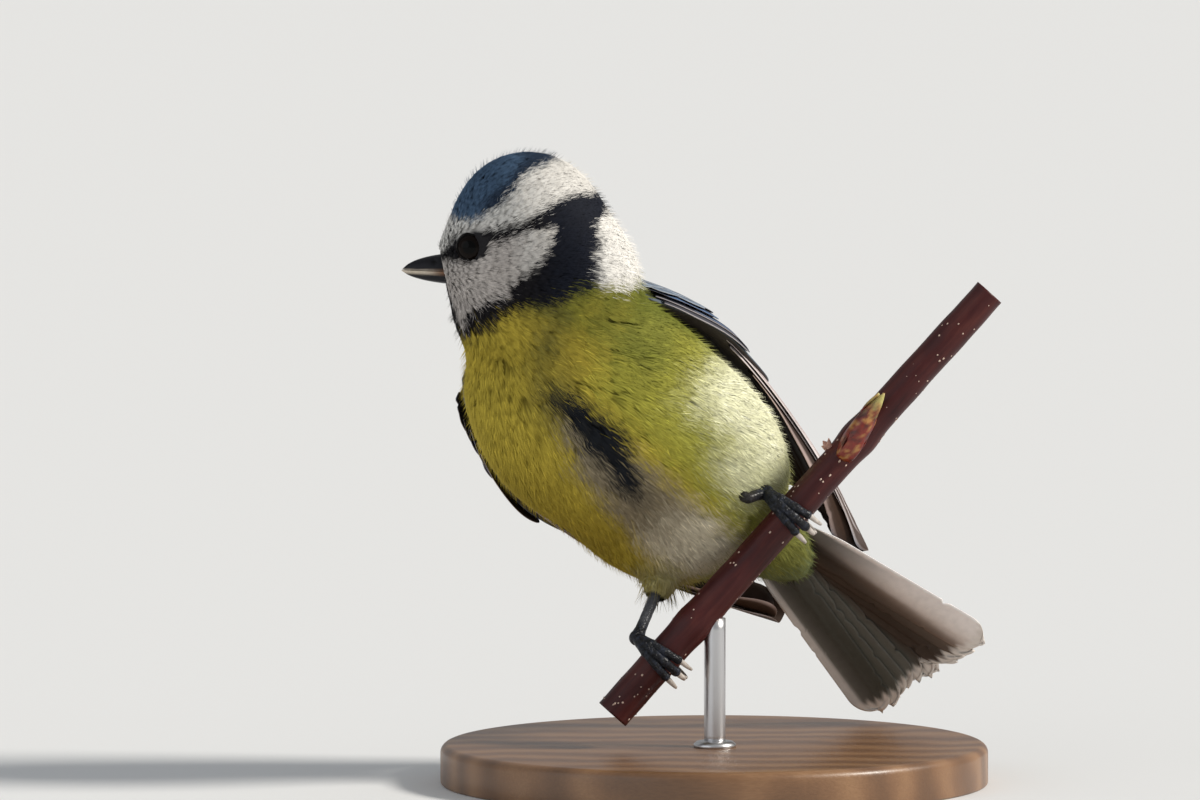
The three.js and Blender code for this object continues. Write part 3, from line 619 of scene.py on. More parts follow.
def dressSkin(mesh, points):
    # painted shade: the skin is painted a little darker than the plumage over it
    paint(mesh, plumageTint(settle(points, 1.0)) * 0.95)
    finish = Finish("skinUnderFeathers", roughness=0.9)
    grain = finish.noise(finish.place(), 2600.0, 4.0)
    finish.feed(baseColor=finish.attribute(), normal=finish.bump(grain, 0.5, 0.0003))
    nodes = ("head", "neck", "torso", "thigh_left", "thigh_right")
    addPiece("skin", mesh, finish, nodes)
    print("skin", len(mesh.polygons))


skinMesh, skinPoints = makeSkin()
dressSkin(skinMesh, skinPoints)

# the coat of short feathers

coat = {
    "seed": 7, "tries": 70000, "stray": 0.35, "perBarb": (0.07, 0.03), "limit": 32000,
    "barbsFace": 26, "barbsHead": 36, "barbsBody": 92,
    # on the face, on the head, on the body
    "spacing": (0.58, 0.80, 1.36), "length": (1.7, 3.0, 6.2), "halfTuft": (0.55, 0.85, 1.75),
    "proud": (1.0, 1.5, 0.6), "thick": (0.75, 0.85, 1.0), "rounding": (0.16, 0.2, 0.35),
    "showing": (1.3, 2.2, 4.4),
}


def sizeAt(points):  # 0 on the face, 1 on the head, 2 on the body
    place = head.local(points)
    fromFace = np.linalg.norm(place - np.array([11, 0, -4]), axis=-1)
    fromHead = np.linalg.norm(place, axis=-1)
    size = smooth(3, 11, fromFace) + smooth(11, 22, fromHead)
    return np.where((tibia(points) < 1.2) & (outline(points) > -1.6), 1.0, size)


def bySize(size, key):
    face, skull, trunk = coat[key]
    return face + (skull - face) * np.clip(size, 0, 1) + (trunk - skull) * np.clip(size - 1, 0, 1)


def underWing(points):  # places that a folded wing hides
    x, y, z = (body.local(points)[..., k] for k in range(3))
    turn = np.degrees(np.arctan2(z - 2 - 0.085 * (14 - x), np.abs(y - 0.065 * (14 - x))))
    return (turn > 12) & (turn < 58) & (x < 9) & (x > -20)


def lieAt(points, normals):  # the way the feathers point
    place = head.local(points)
    fromBill = head.direction(unit(place - np.array([14, 0, -5.2])))
    share = smooth(10, 23, np.linalg.norm(place, axis=-1))[:, None]
    local = body.local(points)
    wobble = 0.14 * np.sin(0.9 * local[:, 0] + 1.3 * local[:, 1])
    wobble = wobble + 0.10 * np.sin(1.7 * local[:, 1] - 0.8 * local[:, 2])
    spread = np.stack([-np.ones(len(points)), 0.018 * local[:, 1] + wobble, wobble - 0.012 * local[:, 2]], -1)
    way = unit(fromBill) * (1 - share) + unit(body.direction(spread)) * share
    knee, inside = (sight.point(p) for p in form["thighs"]["right"])
    near = (smooth(1.6, 0.2, tibia(points)) * smooth(-2.2, -0.6, outline(points)))[:, None]
    way = way * (1 - near) + unit(knee - inside) * near
    way = way - (way * normals).sum(-1, keepdims=True) * normals
    return unit(way)


def scatter(mesh, points, random):  # roots spread over the skin, closer where feathers are small
    mesh.calc_loop_triangles()
    corners = np.empty(len(mesh.loop_triangles) * 3, np.int32)
    mesh.loop_triangles.foreach_get("vertices", corners)
    a, b, c = (points[corners.reshape(-1, 3)[:, k]] for k in range(3))
    area = np.linalg.norm(np.cross(b - a, c - a), axis=-1)
    spacing = bySize(sizeAt((a + b + c) / 3), "spacing")
    weight = area / spacing ** 2
    picked = random.choice(len(a), coat["tries"], p=weight / weight.sum())
    s, t = random.random((2, coat["tries"], 1))
    s, t = np.where(s + t > 1, 1 - s, s), np.where(s + t > 1, 1 - t, t)
    tries = a[picked] + (b - a)[picked] * s + (c - a)[picked] * t
    spacing = spacing[picked]
    kept, grid = [], {}
    for i, (place, gap) in enumerate(zip(tries, spacing)):
        cell = tuple(int(v // 1.5) for v in place)
        near = (j for dx in (-1, 0, 1) for dy in (-1, 0, 1) for dz in (-1, 0, 1)
                for j in grid.get((cell[0] + dx, cell[1] + dy, cell[2] + dz), ()))
        if all(((tries[j] - place) ** 2).sum() > gap * gap for j in near):
            grid.setdefault(cell, []).append(i)
            kept.append(i)
    return tries[kept]


def growBarbs(roots, normals, ways, sizes, count, random):
    # each barb is a thin closed spindle: a foot, a ring of three, and a tip
    tufts = len(roots)
    length = bySize(sizes, "length") * (0.85 + 0.3 * random.random(tufts))
    half = bySize(sizes, "halfTuft")
    depth = coatDepth(roots)
    q = np.linspace(-1, 1, count) + random.normal(0, 0.8 / count, (tufts, count))
    loose = random.random((tufts, count))
    foot = length[:, None] * (0.42 - 0.30 * np.abs(q)) * random.random((tufts, count))
    tip = length[:, None] * (1 - 0.26 * q * q - 0.16 * random.random((tufts, count)) ** 2)
    middle = foot + (tip - foot) * 0.62
    along = np.stack([foot, middle, tip], -1)
    across = half[:, None, None] * q[..., None] * np.array([0.15, 0.8, 1.0])
    astray = random.normal(0, 0.03, (tufts, count, 1))
    across = across + astray * np.array([0, 0.4, 1]) * length[:, None, None]
    proud = bySize(sizes, "proud")[:, None] * (random.random((tufts, count)) > 0.955)
    high = np.stack([np.full_like(q, 0.02), 0.70 + 0.18 * loose, 0.84 + 0.22 * loose ** 2 + proud], -1)
    high = depth[:, None, None] * high
    side = np.cross(normals, ways)
    points = roots[:, None, None] + ways[:, None, None] * along[..., None]
    points = points + side[:, None, None] * across[..., None]
    points = points + normals[:, None, None] * high[..., None]
    points = settle(points.reshape(-1, 3), high.ravel()).reshape(tufts, count, 3, 3)
    heading = unit(points[:, :, 2] - points[:, :, 0])
    wide = unit(np.cross(normals[:, None], heading))
    above = np.cross(heading, wide)
    thick = bySize(sizes, "thick")[:, None, None]
    halfWidth, halfThick = coat["perBarb"]
    ring = [points[:, :, 1] + above * halfThick * thick,
            points[:, :, 1] - (wide * halfWidth + above * halfThick * 0.5) * thick,
            points[:, :, 1] + (wide * halfWidth - above * halfThick * 0.5) * thick]
    made = np.stack([points[:, :, 0], *ring, points[:, :, 2]], 2)
    own = np.stack([heading * 0, above, -wide - above * 0.5, wide - above * 0.5, heading], 2)
    rounding = bySize(sizes, "rounding")[:, None, None, None]
    soft = unit(normals[:, None, None] + rounding * own)
    return made, q, along / length[:, None, None], loose, soft


def spindleCorners(count):
    one = np.array([(0, 2, 1), (0, 3, 2), (0, 1, 3), (4, 1, 2), (4, 2, 3), (4, 3, 1)])
    return (np.arange(count)[:, None, None] * 5 + one).reshape(-1, 3)


def unwrap(roots, onHead):  # each root's place on an unwrap of the skin
    if onHead:
        place = head.local(roots)
        turn = np.arctan2(place[:, 1], place[:, 0]) / (2 * math.pi)
        rise = np.arctan2(place[:, 2], np.hypot(place[:, 0], place[:, 1])) / math.pi
        return np.stack([0.5 + 0.96 * turn, 0.5 + 0.96 * rise], -1)
    place = body.local(roots)
    turn = np.arctan2(place[:, 2], place[:, 1]) / (2 * math.pi)
    return np.stack([0.02 + 0.96 * (place[:, 0] + 46) / 90, 0.5 + 0.96 * turn], -1)


def growCoat(name, roots, onHead, count, finish, nodes, random):
    normals = unit(steepest(roots))
    ways = lieAt(roots, normals)
    sizes = sizeAt(roots)
    made, q, along, loose, soft = growBarbs(roots, normals, ways, sizes, count, random)
    seen = settle(roots + ways * (bySize(sizes, "showing"))[:, None], coatDepth(roots))
    tuftTint = plumageTint(seen)
    stray = coat["stray"] * (0.6 + sizes)[:, None, None] * random.normal(0, 1, made[:, :, 4].shape)
    barbTint = plumageTint((made[:, :, 4] + stray).reshape(-1, 3)).reshape(*made.shape[:2], 3)
    tint = 0.35 * tuftTint[:, None] + 0.65 * barbTint
    fleck = random.random((*made.shape[:2], 1))
    accent = 0.10 + 0.45 * np.clip(sizes - 1, 0, 1)[:, None, None]
    streaky = 0.96 + 0.08 * loose[..., None] + accent * (0.8 * (fleck > 0.92) - 0.35 * (fleck < 0.06))
    tint = tint * (1 + random.normal(0, 0.05, (len(roots), 1, 1))) * streaky
    # painted shade at each barb's foot, a little painted light at its tip
    shade = np.array([0.88, 0.97, 0.97, 0.97, 1.03])[:, None]
    tint = np.clip(tint[:, :, None] * shade, 0, 1)
    patch = 0.003 * np.stack([np.stack([along[..., k] for k in (0, 1, 1, 1, 2)], -1) - 0.5,
                              np.broadcast_to(0.5 * q[..., None], (*q.shape, 5))], -1)
    places = unwrap(roots, onHead)[:, None, None] + patch
    barbs = made.shape[0] * made.shape[1]
    mesh = meshFromArrays(name, made.reshape(-1, 3), spindleCorners(barbs), tint.reshape(-1, 3),
                          places.reshape(-1, 2), normals=soft.reshape(-1, 3))
    addPiece(name, mesh, finish, nodes)


def tuftRoots(random):  # clear of the eyes, the bill and what a folded wing hides
    roots = scatter(skinMesh, skinPoints, random)
    local = head.local(roots)
    x, y, z = local.T
    onEye = (np.hypot(x - 8.1, z + 1.7) < 2.2) & (np.abs(y) > 3)
    onBill = (x > 10.6) & (np.hypot(y / 2.1, (z + 5.8) / 2.3) < 1)
    return roots[~onEye & ~onBill & ~underWing(roots)]


def coatRegions(roots):  # name, where, on the head, barbs in a tuft, slot, nodes
    sizes = sizeAt(roots)
    local = head.local(roots)
    far = np.linalg.norm(local, axis=-1)
    x, y, z = body.local(roots).T
    around = np.degrees(np.arctan2(z, np.abs(y)))
    nearThigh = (tibia(roots) < 0.3) & (outline(roots) > -1.6)
    return [
        ("thighs", nearThigh, False, "barbsHead", "thigh_plumage", ("thigh_left", "thigh_right")),
        ("face", sizes < 0.75, True, "barbsFace", "head_plumage", ("head",)),
        ("crown", (far < 14) & (local[:, 2] > 1), True, "barbsHead", "head_plumage", ("head",)),
        ("cheeks", far < 14, True, "barbsHead", "head_plumage", ("head",)),
        ("collar", sizes < 1.85, False, "barbsBody", "neck_plumage", ("neck",)),
        ("back", around > 20, False, "barbsBody", "body_plumage", ("torso",)),
        ("vent", x < -20, False, "barbsBody", "tail_plumage", ("torso",)),
        ("leftFlank", y > 3, False, "barbsBody", "body_plumage", ("torso",)),
        ("rightFlank", y < -5, False, "barbsBody", "body_plumage", ("torso",)),
        ("belly", sizes < 9, False, "barbsBody", "body_plumage", ("torso",)),
    ]


def makeCoat():
    finish = Finish("shortFeathers", roughness=0.75, specularIORLevel=0.2)
    finish.feed(baseColor=finish.attribute())
    random = np.random.default_rng(coat["seed"])
    roots = tuftRoots(random)
    left = np.ones(len(roots), bool)
    for name, where, onHead, barbs, slot, nodes in coatRegions(roots):  # a tuft is in the first that fits
        count = coat[barbs]
        chosen = roots[where & left]
        chosen = chosen[np.argsort(body.local(chosen)[:, 0])]
        left &= ~where
        step = coat["limit"] // count
        for k in range(0, len(chosen), step):
            piece = f"coat_{name}_{k // step + 1}"
            growCoat(piece, chosen[k:k + step], onHead, count, finish, nodes, random)
        print("coat", name, len(chosen), "tufts", len(chosen) * count, "barbs")


makeCoat()

# flight feathers

wingForm = {
    "halfSpan": [(-48, 8), (-28, 14.8), (-5, 19.2), (5, 17.8), (16, 13.6)],
    "rise": [(-46, 2.2), (-28, 6.8), (-12, 12.6), (5, 16.2), (16, 14.6)],
    "front": 14, "sway": 0.065, "edgeHeight": 2, "edgeSlope": 0.085, "rightStandOff": 0.35,
    "thickness": 0.3, "edgeThickness": 0.09, "tilt": 0.14,
    "armBelow": (0.055, 0.045, 0.040), "armAbove": (0.13, 0.16, 0.20),
}

# a row is kind, count, first feather, last feather, lift off the wing's shell, where the tip rounds off
# a feather is root, tip and width, with root and tip as a place along the body and a turn round it
wingTiers = [
    ("primary", 1, ((-4, 3), (-41, 4), 3.4), ((-4, 3), (-41, 4), 3.4), 0, 0.8),
    ("blade", 1, ((-10, 4), (-45.2, -2), 6.2), ((-10, 4), (-45.2, -2), 6.2), -0.35, 0.8),
    ("primary", 7, ((-3, 7), (-46.5, 12), 5.2), ((5, 26), (-34, 42), 5.8), 0.3, 0.9),
    ("secondary", 6, ((5, 30), (-32, 46), 5.4), ((0, 56), (-27, 66), 5.6), 0.75, 0.88),
    ("tertial", 3, ((-1, 60), (-25, 68), 5.8), ((-4, 72), (-17, 80), 5.6), 1.15, 0.75),
    ("greater", 9, ((8, 13), (-8, 14), 4.4), ((3, 68), (-10, 70), 4.8), 1.45, 0.7),
    ("median", 8, ((12, 14), (-1, 13), 4.0), ((8, 64), (-3, 66), 4.4), 1.95, 0.6),
    ("alula", 2, ((9, 3), (-7, 3), 3.2), ((10, 9), (-5, 9), 3.2), 1.5, 0.65),
]

lesserRows = {"rows": 6, "across": 9, "from": 13.5, "to": 2.5, "length": 5.2, "width": 3.6}

vaneTints = {  # outer web, inner web, outer edge, tip
    "primary": ((0.34, 0.31, 0.32), (0.034, 0.026, 0.022), (0.72, 0.66, 0.66), (0.30, 0.24, 0.22)),
    "blade": ((0.045, 0.028, 0.022), (0.030, 0.018, 0.013), (0.62, 0.48, 0.44), (0.20, 0.13, 0.10)),
    "secondary": ((0.085, 0.125, 0.21), (0.045, 0.044, 0.048), (0.34, 0.40, 0.50), (0.62, 0.60, 0.58)),
    "tertial": ((0.10, 0.14, 0.19), (0.075, 0.085, 0.10), (0.20, 0.28, 0.36), (0.72, 0.72, 0.70)),
    "greater": ((0.060, 0.105, 0.20), (0.050, 0.056, 0.070), (0.15, 0.21, 0.32), (0.78, 0.78, 0.76)),
    "median": ((0.070, 0.125, 0.24), (0.055, 0.080, 0.12), (0.12, 0.20, 0.34), (0.17, 0.25, 0.38)),
    # the lesser coverts' blue is lightened, with whitish edges and tips: painted highlight on the shoulder
    "lesser": ((0.165, 0.21, 0.28), (0.115, 0.15, 0.21), (0.36, 0.42, 0.48), (0.46, 0.51, 0.57)),
    "alula": ((0.055, 0.055, 0.070), (0.030, 0.028, 0.032), (0.42, 0.40, 0.42), (0.10, 0.11, 0.14)),
    "tail": ((0.085, 0.145, 0.25), (0.075, 0.085, 0.11), (0.16, 0.25, 0.36), (0.34, 0.33, 0.33)),
}
# feather undersides: dark brown webs and tips as painted shade, with a pale rim
vaneUnder = {"web": (0.026, 0.014, 0.009), "rim": (0.56, 0.42, 0.38), "tip": (0.042, 0.021, 0.012)}


def onWing(side, x, turn, lift):  # turn in degrees, lift off the wing's shell
    f = wingForm
    behind = f["front"] - x
    standOff = f["rightStandOff"] * smooth(-40, -10, x) if side < 0 else 0
    half = profile(f["halfSpan"], x) + lift + standOff
    rise = profile(f["rise"], x) + lift
    turn = np.radians(turn)
    y = f["sway"] * behind + side * half * np.cos(turn)
    z = f["edgeHeight"] + f["edgeSlope"] * behind + rise * np.sin(turn)
    return body.point(np.stack([x, y, z], -1))


def wingRadius(x, turn):
    turn = np.radians(turn)
    half, rise = profile(wingForm["halfSpan"], x), profile(wingForm["rise"], x)
    return np.hypot(half * np.sin(turn), rise * np.cos(turn))


def featherWidth(t, root, blunt):
    widening = root + (1 - root) * smooth(0, 0.35, t)
    end = np.clip((t - blunt) / (1 - blunt), 0, 1)
    return widening * np.sqrt(np.maximum(1 - end ** 2, 0.0015))


def frayed(t, edge, random, wear):  # splits where the vane has parted
    cut = np.zeros_like(t)
    for _ in range(int(2 + 5 * wear)):
        place, wide, deep = random.uniform(0.35, 1.0), random.uniform(0.006, 0.02), random.uniform(0.05, 0.28)
        side = random.choice((-1, 1))
        gap = np.clip(1 - np.abs(t - place - 0.05 * (1 - np.abs(edge))) / wide, 0, 1)
        cut = np.maximum(cut, deep * wear * gap * (np.sign(edge) == side))
    return 1 - cut


def vane(shape, columns, rows):
    # a closed thin plate: shape maps across (-0.5 to 0.5), through and along (0 to 1) to points
    across = np.linspace(-0.5, 0.5, columns + 1)
    along = 1 - (1 - np.linspace(0, 1, rows + 1)) ** 1.5
    a, t = np.meshgrid(across, along)
    sheets = [shape(a, np.full_like(a, k), t) for k in (0.5, -0.5)]
    points = np.concatenate([s.reshape(-1, 3) for s in sheets])
    n = columns + 1
    i = (np.arange(rows)[:, None] * n + np.arange(columns)).ravel()
    top = np.stack([i, i + 1, i + n + 1, i + n], -1)
    low = top[:, ::-1] + a.size
    ring = np.concatenate([np.arange(n), np.arange(1, rows) * n + columns,
                           rows * n + np.arange(n)[::-1], np.arange(1, rows)[::-1] * n])
    after = np.roll(ring, -1)
    rim = np.stack([after, ring, ring + a.size, after + a.size], -1)
    spread = np.concatenate([np.stack([a, t], -1).reshape(-1, 2)] * 2)
    upper = np.repeat([1.0, 0.0], a.size)
    return points, np.concatenate([top, low, rim]), spread, upper


def vaneTint(kind, spread, upper, random):
    outer, inner, rim, end = (np.array(c) for c in vaneTints[kind])
    a, t = spread[:, 0], spread[:, 1]
    tint = mixed(outer, inner, smooth(-0.16, -0.02, a))
    reach = 0.24 if kind == "primary" else 0.38
    tint = mixed(tint, rim, smooth(-reach, -reach - 0.09, a))
    tint = mixed(tint, end, smooth(0.90, 0.965, t + 0.03 * np.cos(9 * a)))
    tint = mixed(tint, inner * 0.45, smooth(0.022, 0.012, np.abs(a + 0.14)) * smooth(0.98, 0.9, t))
    edge = np.maximum(-a, t - 0.5) if kind == "blade" else -a
    # the underside, painted dark as painted shade, but for its pale edge
    below = mixed(vaneUnder["web"], vaneUnder["rim"], smooth(0.42, 0.475, edge))
    tint = mixed(tint, below, (1 - upper) * 0.95)
    if kind in ("primary", "blade"):  # painted shade: dark towards the tip, but for a thin pale rim
        tint = mixed(tint, vaneUnder["tip"], 0.94 * smooth(0.58, 0.72, t) * smooth(-0.485, -0.455, a))
    return tint * (1 + random.normal(0, 0.05))


class Plumes:  # gathers vanes into one mesh
    def __init__(self):
        self.points, self.faces, self.tints, self.maps = [], [], [], []
        self.count = 0

    def add(self, points, faces, tint, spread, length, width):
        self.points.append(points)
        self.faces.append(faces + self.count)
        self.tints.append(tint)
        self.maps.append(spread * np.array([width, length]) * 0.1)
        self.count += len(points)

    def piece(self, name, finish, slot, nodes):
        mesh = meshFromArrays(name, np.concatenate(self.points), np.concatenate(self.faces),
                              np.concatenate(self.tints), np.concatenate(self.maps), "vane")
        print(name, len(mesh.polygons))
        addPiece(name, mesh, finish, nodes)


def wingFeather(plumes, side, kind, root, tip, width, lift, blunt, random, wear=0.35, rows=44):
    f = wingForm
    bend = random.normal(0, 0.4)
    seed = int(random.integers(1 << 30))

    def shape(a, through, t):
        x = root[0] + (tip[0] - root[0]) * t
        turn = root[1] + (tip[1] - root[1]) * t + bend * t * t
        fray = frayed(t, a, np.random.default_rng(seed), wear)
        offset = a * width * featherWidth(t, 0.45, blunt) * fray
        shaft = np.exp(-((a + 0.14) / 0.09) ** 2)
        thick = f["edgeThickness"] + (f["thickness"] - f["edgeThickness"]) * shaft
        thick = thick * (1 - 0.5 * t)
        cup = -1.1 * (a ** 2) * (1 - 0.4 * t)
        high = lift - f["tilt"] * offset + cup * 0.4 + through * thick
        return onWing(side, x, turn + np.degrees(offset / wingRadius(x, turn)), high)

    points, faces, spread, upper = vane(shape, 14, rows)
    if side < 0:
        faces = faces[:, ::-1]
    tint = vaneTint(kind, spread, upper, random)
    plumes.add(points, faces, tint, spread, abs(tip[0] - root[0]), width)


def wingArm(plumes, side):
    def shape(a, through, t):
        x = 17.5 - 33 * t
        full = np.sqrt(np.maximum(0, 1 - (2 * t - 1) ** 4))
        turn = 38 + a * 72 * (0.25 + 0.75 * full)
        edge = np.sqrt(np.maximum(0, 1 - (2 * a) ** 4))
        thick = (0.3 + 3.6 * full * edge) * (1 - 0.5 * t)
        return onWing(side, x, turn, 1.1 - (0.5 - through) * thick)

    points, faces, spread, upper = vane(shape, 24, 40)
    if side < 0:
        faces = faces[:, ::-1]
    tint = mixed(wingForm["armBelow"], wingForm["armAbove"], upper)
    plumes.add(points, faces, tint, spread, 33, 20)


def makeWing(name, side, seed, finish):
    random = np.random.default_rng(seed)
    plumes = Plumes()
    wingArm(plumes, side)
    for kind, count, first, last, lift, blunt in wingTiers:
        for i in range(count):
            t = i / max(1, count - 1)
            root, tip = (np.add(first[k], np.subtract(last[k], first[k]) * t) for k in (0, 1))
            tip = tip + (random.uniform(-0.4, 0.4), 0)
            width = first[2] + (last[2] - first[2]) * t
            wingFeather(plumes, side, kind, root, tip, width, lift, blunt, random)
    rows = lesserRows
    for row in range(rows["rows"]):
        x = rows["from"] + (rows["to"] - rows["from"]) * row / (rows["rows"] - 1)
        for i in range(rows["across"]):
            turn = 14 + 54 * (i + 0.5 * (row % 2)) / rows["across"] + random.normal(0, 1.0)
            root = (x + 2.5 + random.normal(0, 0.3), turn)
            tip = (x + 2.5 - rows["length"], turn + 0.5)
            lift = 2.5 - 0.25 * row / rows["rows"]
            wingFeather(plumes, side, "lesser", root, tip, rows["width"], lift, 0.45, random, 0.5, 14)
    plumes.piece(name, finish, "wing_plumage", ("wing_left" if side > 0 else "wing_right",))


tailForm = {
    "pivot": (-21.5, 4.1, 6.9), "heading": (-48.4, 3, -2), "roll": 15, "length": 47, "opening": 27,
    "count": 12, "start": 6.5, "width": 6.4, "thickness": 0.42, "fringe": (0.86, 0.79, 0.72),
}

tailUnder = [  # place across the fan, colour of the underside: pale outer webs, lighter on the right-hand band as painted light where light shines through, and painted shade in the dark middle
    (-0.97, (0.86, 0.82, 0.78)), (-0.91, (0.80, 0.76, 0.72)), (-0.86, (0.20, 0.19, 0.17)),
    (-0.1, (0.115, 0.112, 0.094)), (0.05, (0.062, 0.044, 0.032)), (0.38, (0.085, 0.060, 0.044)),
    (0.55, (0.24, 0.18, 0.145)), (0.64, (0.62, 0.53, 0.47)), (0.80, (0.86, 0.79, 0.74)),
    (1, (0.92, 0.86, 0.82)),
]


def makeTailAxes():
    along = unit(tailForm["heading"])
    c, s = turned(tailForm["roll"])
    side = np.array([0, c, -s])
    side = unit(side - side @ along * along)
    above = unit(np.cross(side, along))
    return Axes(body.point(tailForm["pivot"]), *(body.direction(a) for a in (along, side, above)))


def makeTail(finish):
    axes = makeTailAxes()
    random = np.random.default_rng(31)
    plumes = Plumes()
    f = tailForm
    for i in range(f["count"]):
        place = (2 * i + 1) / f["count"] - 1
        wear = 1.6 + 0.6 * smooth(0.5, 0.9, place) if place > 0.3 else 0.8
        length = f["length"] + wear + random.uniform(-0.7, 0.7)
        angle = math.radians(place * f["opening"] / 2)
        level = -abs(place) * 1.75 - (0.09 if place < 0 else 0)
        outward = math.copysign(1, place)
        notches = random.uniform(0, 1, 40)
        seed = int(random.integers(1 << 30))

        def shape(a, through, t):
            fray = frayed(t, a, np.random.default_rng(seed), 0.9)
            teeth = np.interp(a, np.linspace(-0.5, 0.5, 40), notches)
            ragged = 0.8 * teeth + 0.9 * np.interp(a, np.linspace(-0.5, 0.5, 9), notches[:9])
            ragged = ragged + 0.7 * (2 * a * outward + 0.3) ** 2
            distance = f["start"] + (length - ragged * t ** 3 - f["start"]) * t
            offset = a * f["width"] * featherWidth(t, 0.35, 0.9) * fray
            shaft = np.exp(-((a + 0.14 * outward) / 0.05) ** 2)
            thick = f["thickness"] * (0.28 + 0.72 * shaft) * (1 - 0.5 * t)
            high = level - outward * 0.027 * offset - 0.5 * a ** 2 + through * thick
            x = distance * math.cos(angle) - offset * math.sin(angle)
            y = distance * math.sin(angle) + offset * math.cos(angle)
            return axes.point(np.stack([x, y, high], -1))

        points, faces, spread, upper = vane(shape, 20, 70)
        towards = spread * np.array([-outward, 1])
        tint = vaneTint("tail", towards, upper, random)
        local = axes.local(points)
        fan = local[:, 1] / (local[:, 0] * math.tan(math.radians(f["opening"] * 0.46)) + f["width"] * 0.48)
        # the underside's colours across the fan, with painted light on the right and painted shade in the
        # middle
        below = np.stack([profile([(k, c[j]) for k, c in tailUnder], fan) for j in range(3)], -1)
        rim = (0.2 + 0.3 * smooth(0.2, 0.5, fan)) * smooth(0.44, 0.49, np.abs(spread[:, 0]))
        shaded = 1 - 0.8 * smooth(34, 16, local[:, 0]) * smooth(0.2, 0.5, fan) * smooth(0.97, 0.9, fan)
        below = below * ((1 + rim) * shaded)[:, None] * random.uniform(0.85, 1.15)
        tint = mixed(tint, below, 1 - upper)
        worn = smooth(0.925, 0.965, spread[:, 1] + 0.012 * np.sin(60 * fan))
        tint = mixed(tint, f["fringe"], 0.9 * worn)
        plumes.add(points, faces, tint, spread, length, f["width"])
    plumes.piece("tailFan", finish, "tail_plumage", ("tail",))


def makeVaneFinish():  # fine lines slant away from each shaft
    finish = Finish("flightFeathers", roughness=0.55, specularIORLevel=0.2)
    where = finish.node("ShaderNodeUVMap", {"uv_map": "vane"})
    across = finish.node("ShaderNodeSeparateXYZ", {}, [where])
    along = Value(finish, across.socket.node.outputs[1])
    lines = (along * 420.0 - across.maths("ABSOLUTE") * 330.0).maths("SINE")
    mottled = finish.noise(finish.place(), 900.0)
    finish.feed(baseColor=finish.shaded(lines * 0.07 + mottled * 0.25 + 0.86),
                normal=finish.bump(lines, 0.35, 0.00004))
    return finish


vaneFinish = makeVaneFinish()
makeWing("wingLeft", 1, 11, vaneFinish)
makeWing("wingRight", -1, 23, vaneFinish)
makeTail(vaneFinish)

# eyes and bill

faceForm = {
    "eye": (7.7, 5.85, -1.8), "eyeRadius": 2.35, "look": (0.2, 1, 0.12),
    "lidRadius": 1.86, "lidRise": 1.42, "lidThick": 0.17,
    "mouth": -5.95, "nostril": (13.0, 1.35, -4.55), "nostrilReach": 0.6,
    "high": [(8.4, -3.45), (10.4, -3.5), (12.7, -3.75), (15, -4.3), (16.7, -5.05), (17.8, -5.95)],
    "low": [(8.4, -8.2), (10.4, -8.1), (12.7, -7.85), (15, -7.4), (16.7, -6.85), (17.8, -6.15)],
    "half": [(8.4, 2.4), (10.4, 2.2), (12.7, 1.9), (15, 1.25), (16.7, 0.65), (17.8, 0.14)],
    "horn": (0.014, 0.014, 0.017), "edge": (0.60, 0.52, 0.42), "gape": (0.20, 0.10, 0.055),
    # hollow is painted shade in the nostrils
    "hollow": (0.004, 0.004, 0.004), "iris": (0.006, 0.0035, 0.0025), "pupil": (0.002, 0.002, 0.002),
    "lid": ((0.004, 0.004, 0.004, 1), (0.009, 0.008, 0.008, 1)),
}


def makeEyes():
    finish = Finish("eyeGloss", roughness=0.15, specularIORLevel=0.03, coatWeight=0.10, coatRoughness=0.02)
    finish.feed(baseColor=finish.attribute())
    lidFinish = Finish("lidSkin", roughness=0.7, specularIORLevel=0.03)
    lidGrain = lidFinish.noise(lidFinish.place(), 5000.0)
    lidFinish.feed(baseColor=lidFinish.mix(lidGrain, *faceForm["lid"]))
    for name, side in (("left", 1), ("right", -1)):
        f, l, u = faceForm["eye"]
        centre = head.point((f, side * l, u))
        look = unit(head.direction(np.array(faceForm["look"]) * (1, side, 1)))
        turn = Vector(look).to_track_quat("Z", "Y").to_matrix().to_4x4()
        place = Matrix.Translation(Vector(centre) * metre) @ turn
        bm = bmesh.new()
        radius = faceForm["eyeRadius"] * metre
        bmesh.ops.create_uvsphere(bm, u_segments=48, v_segments=32, radius=radius, matrix=place)
        mesh = finishMesh(bm, "eye")
        facing = unit(pointsOf(mesh) - centre) @ look
        paint(mesh, mixed(faceForm["iris"], faceForm["pupil"], smooth(0.905, 0.925, facing)))
        addPiece(f"eyeball_{name}", mesh, finish, (f"eye_{name}",))
        bm = bmesh.new()
        rim = Matrix.Translation((faceForm["lidRadius"] * metre, 0, faceForm["lidRise"] * metre))
        rim = place @ rim @ Matrix.Rotation(math.radians(90), 4, "X")
        thick = faceForm["lidThick"] * metre
        ring = bmesh.ops.create_circle(bm, segments=12, radius=thick, matrix=rim)["verts"]
        bmesh.ops.spin(bm, geom=ring + edgesOf(ring), cent=Vector(centre) * metre, axis=look,
                       angle=2 * math.pi, steps=48, use_merge=True)
        addPiece(f"lid_{name}", finishMesh(bm, "lid"), lidFinish, ("head",))


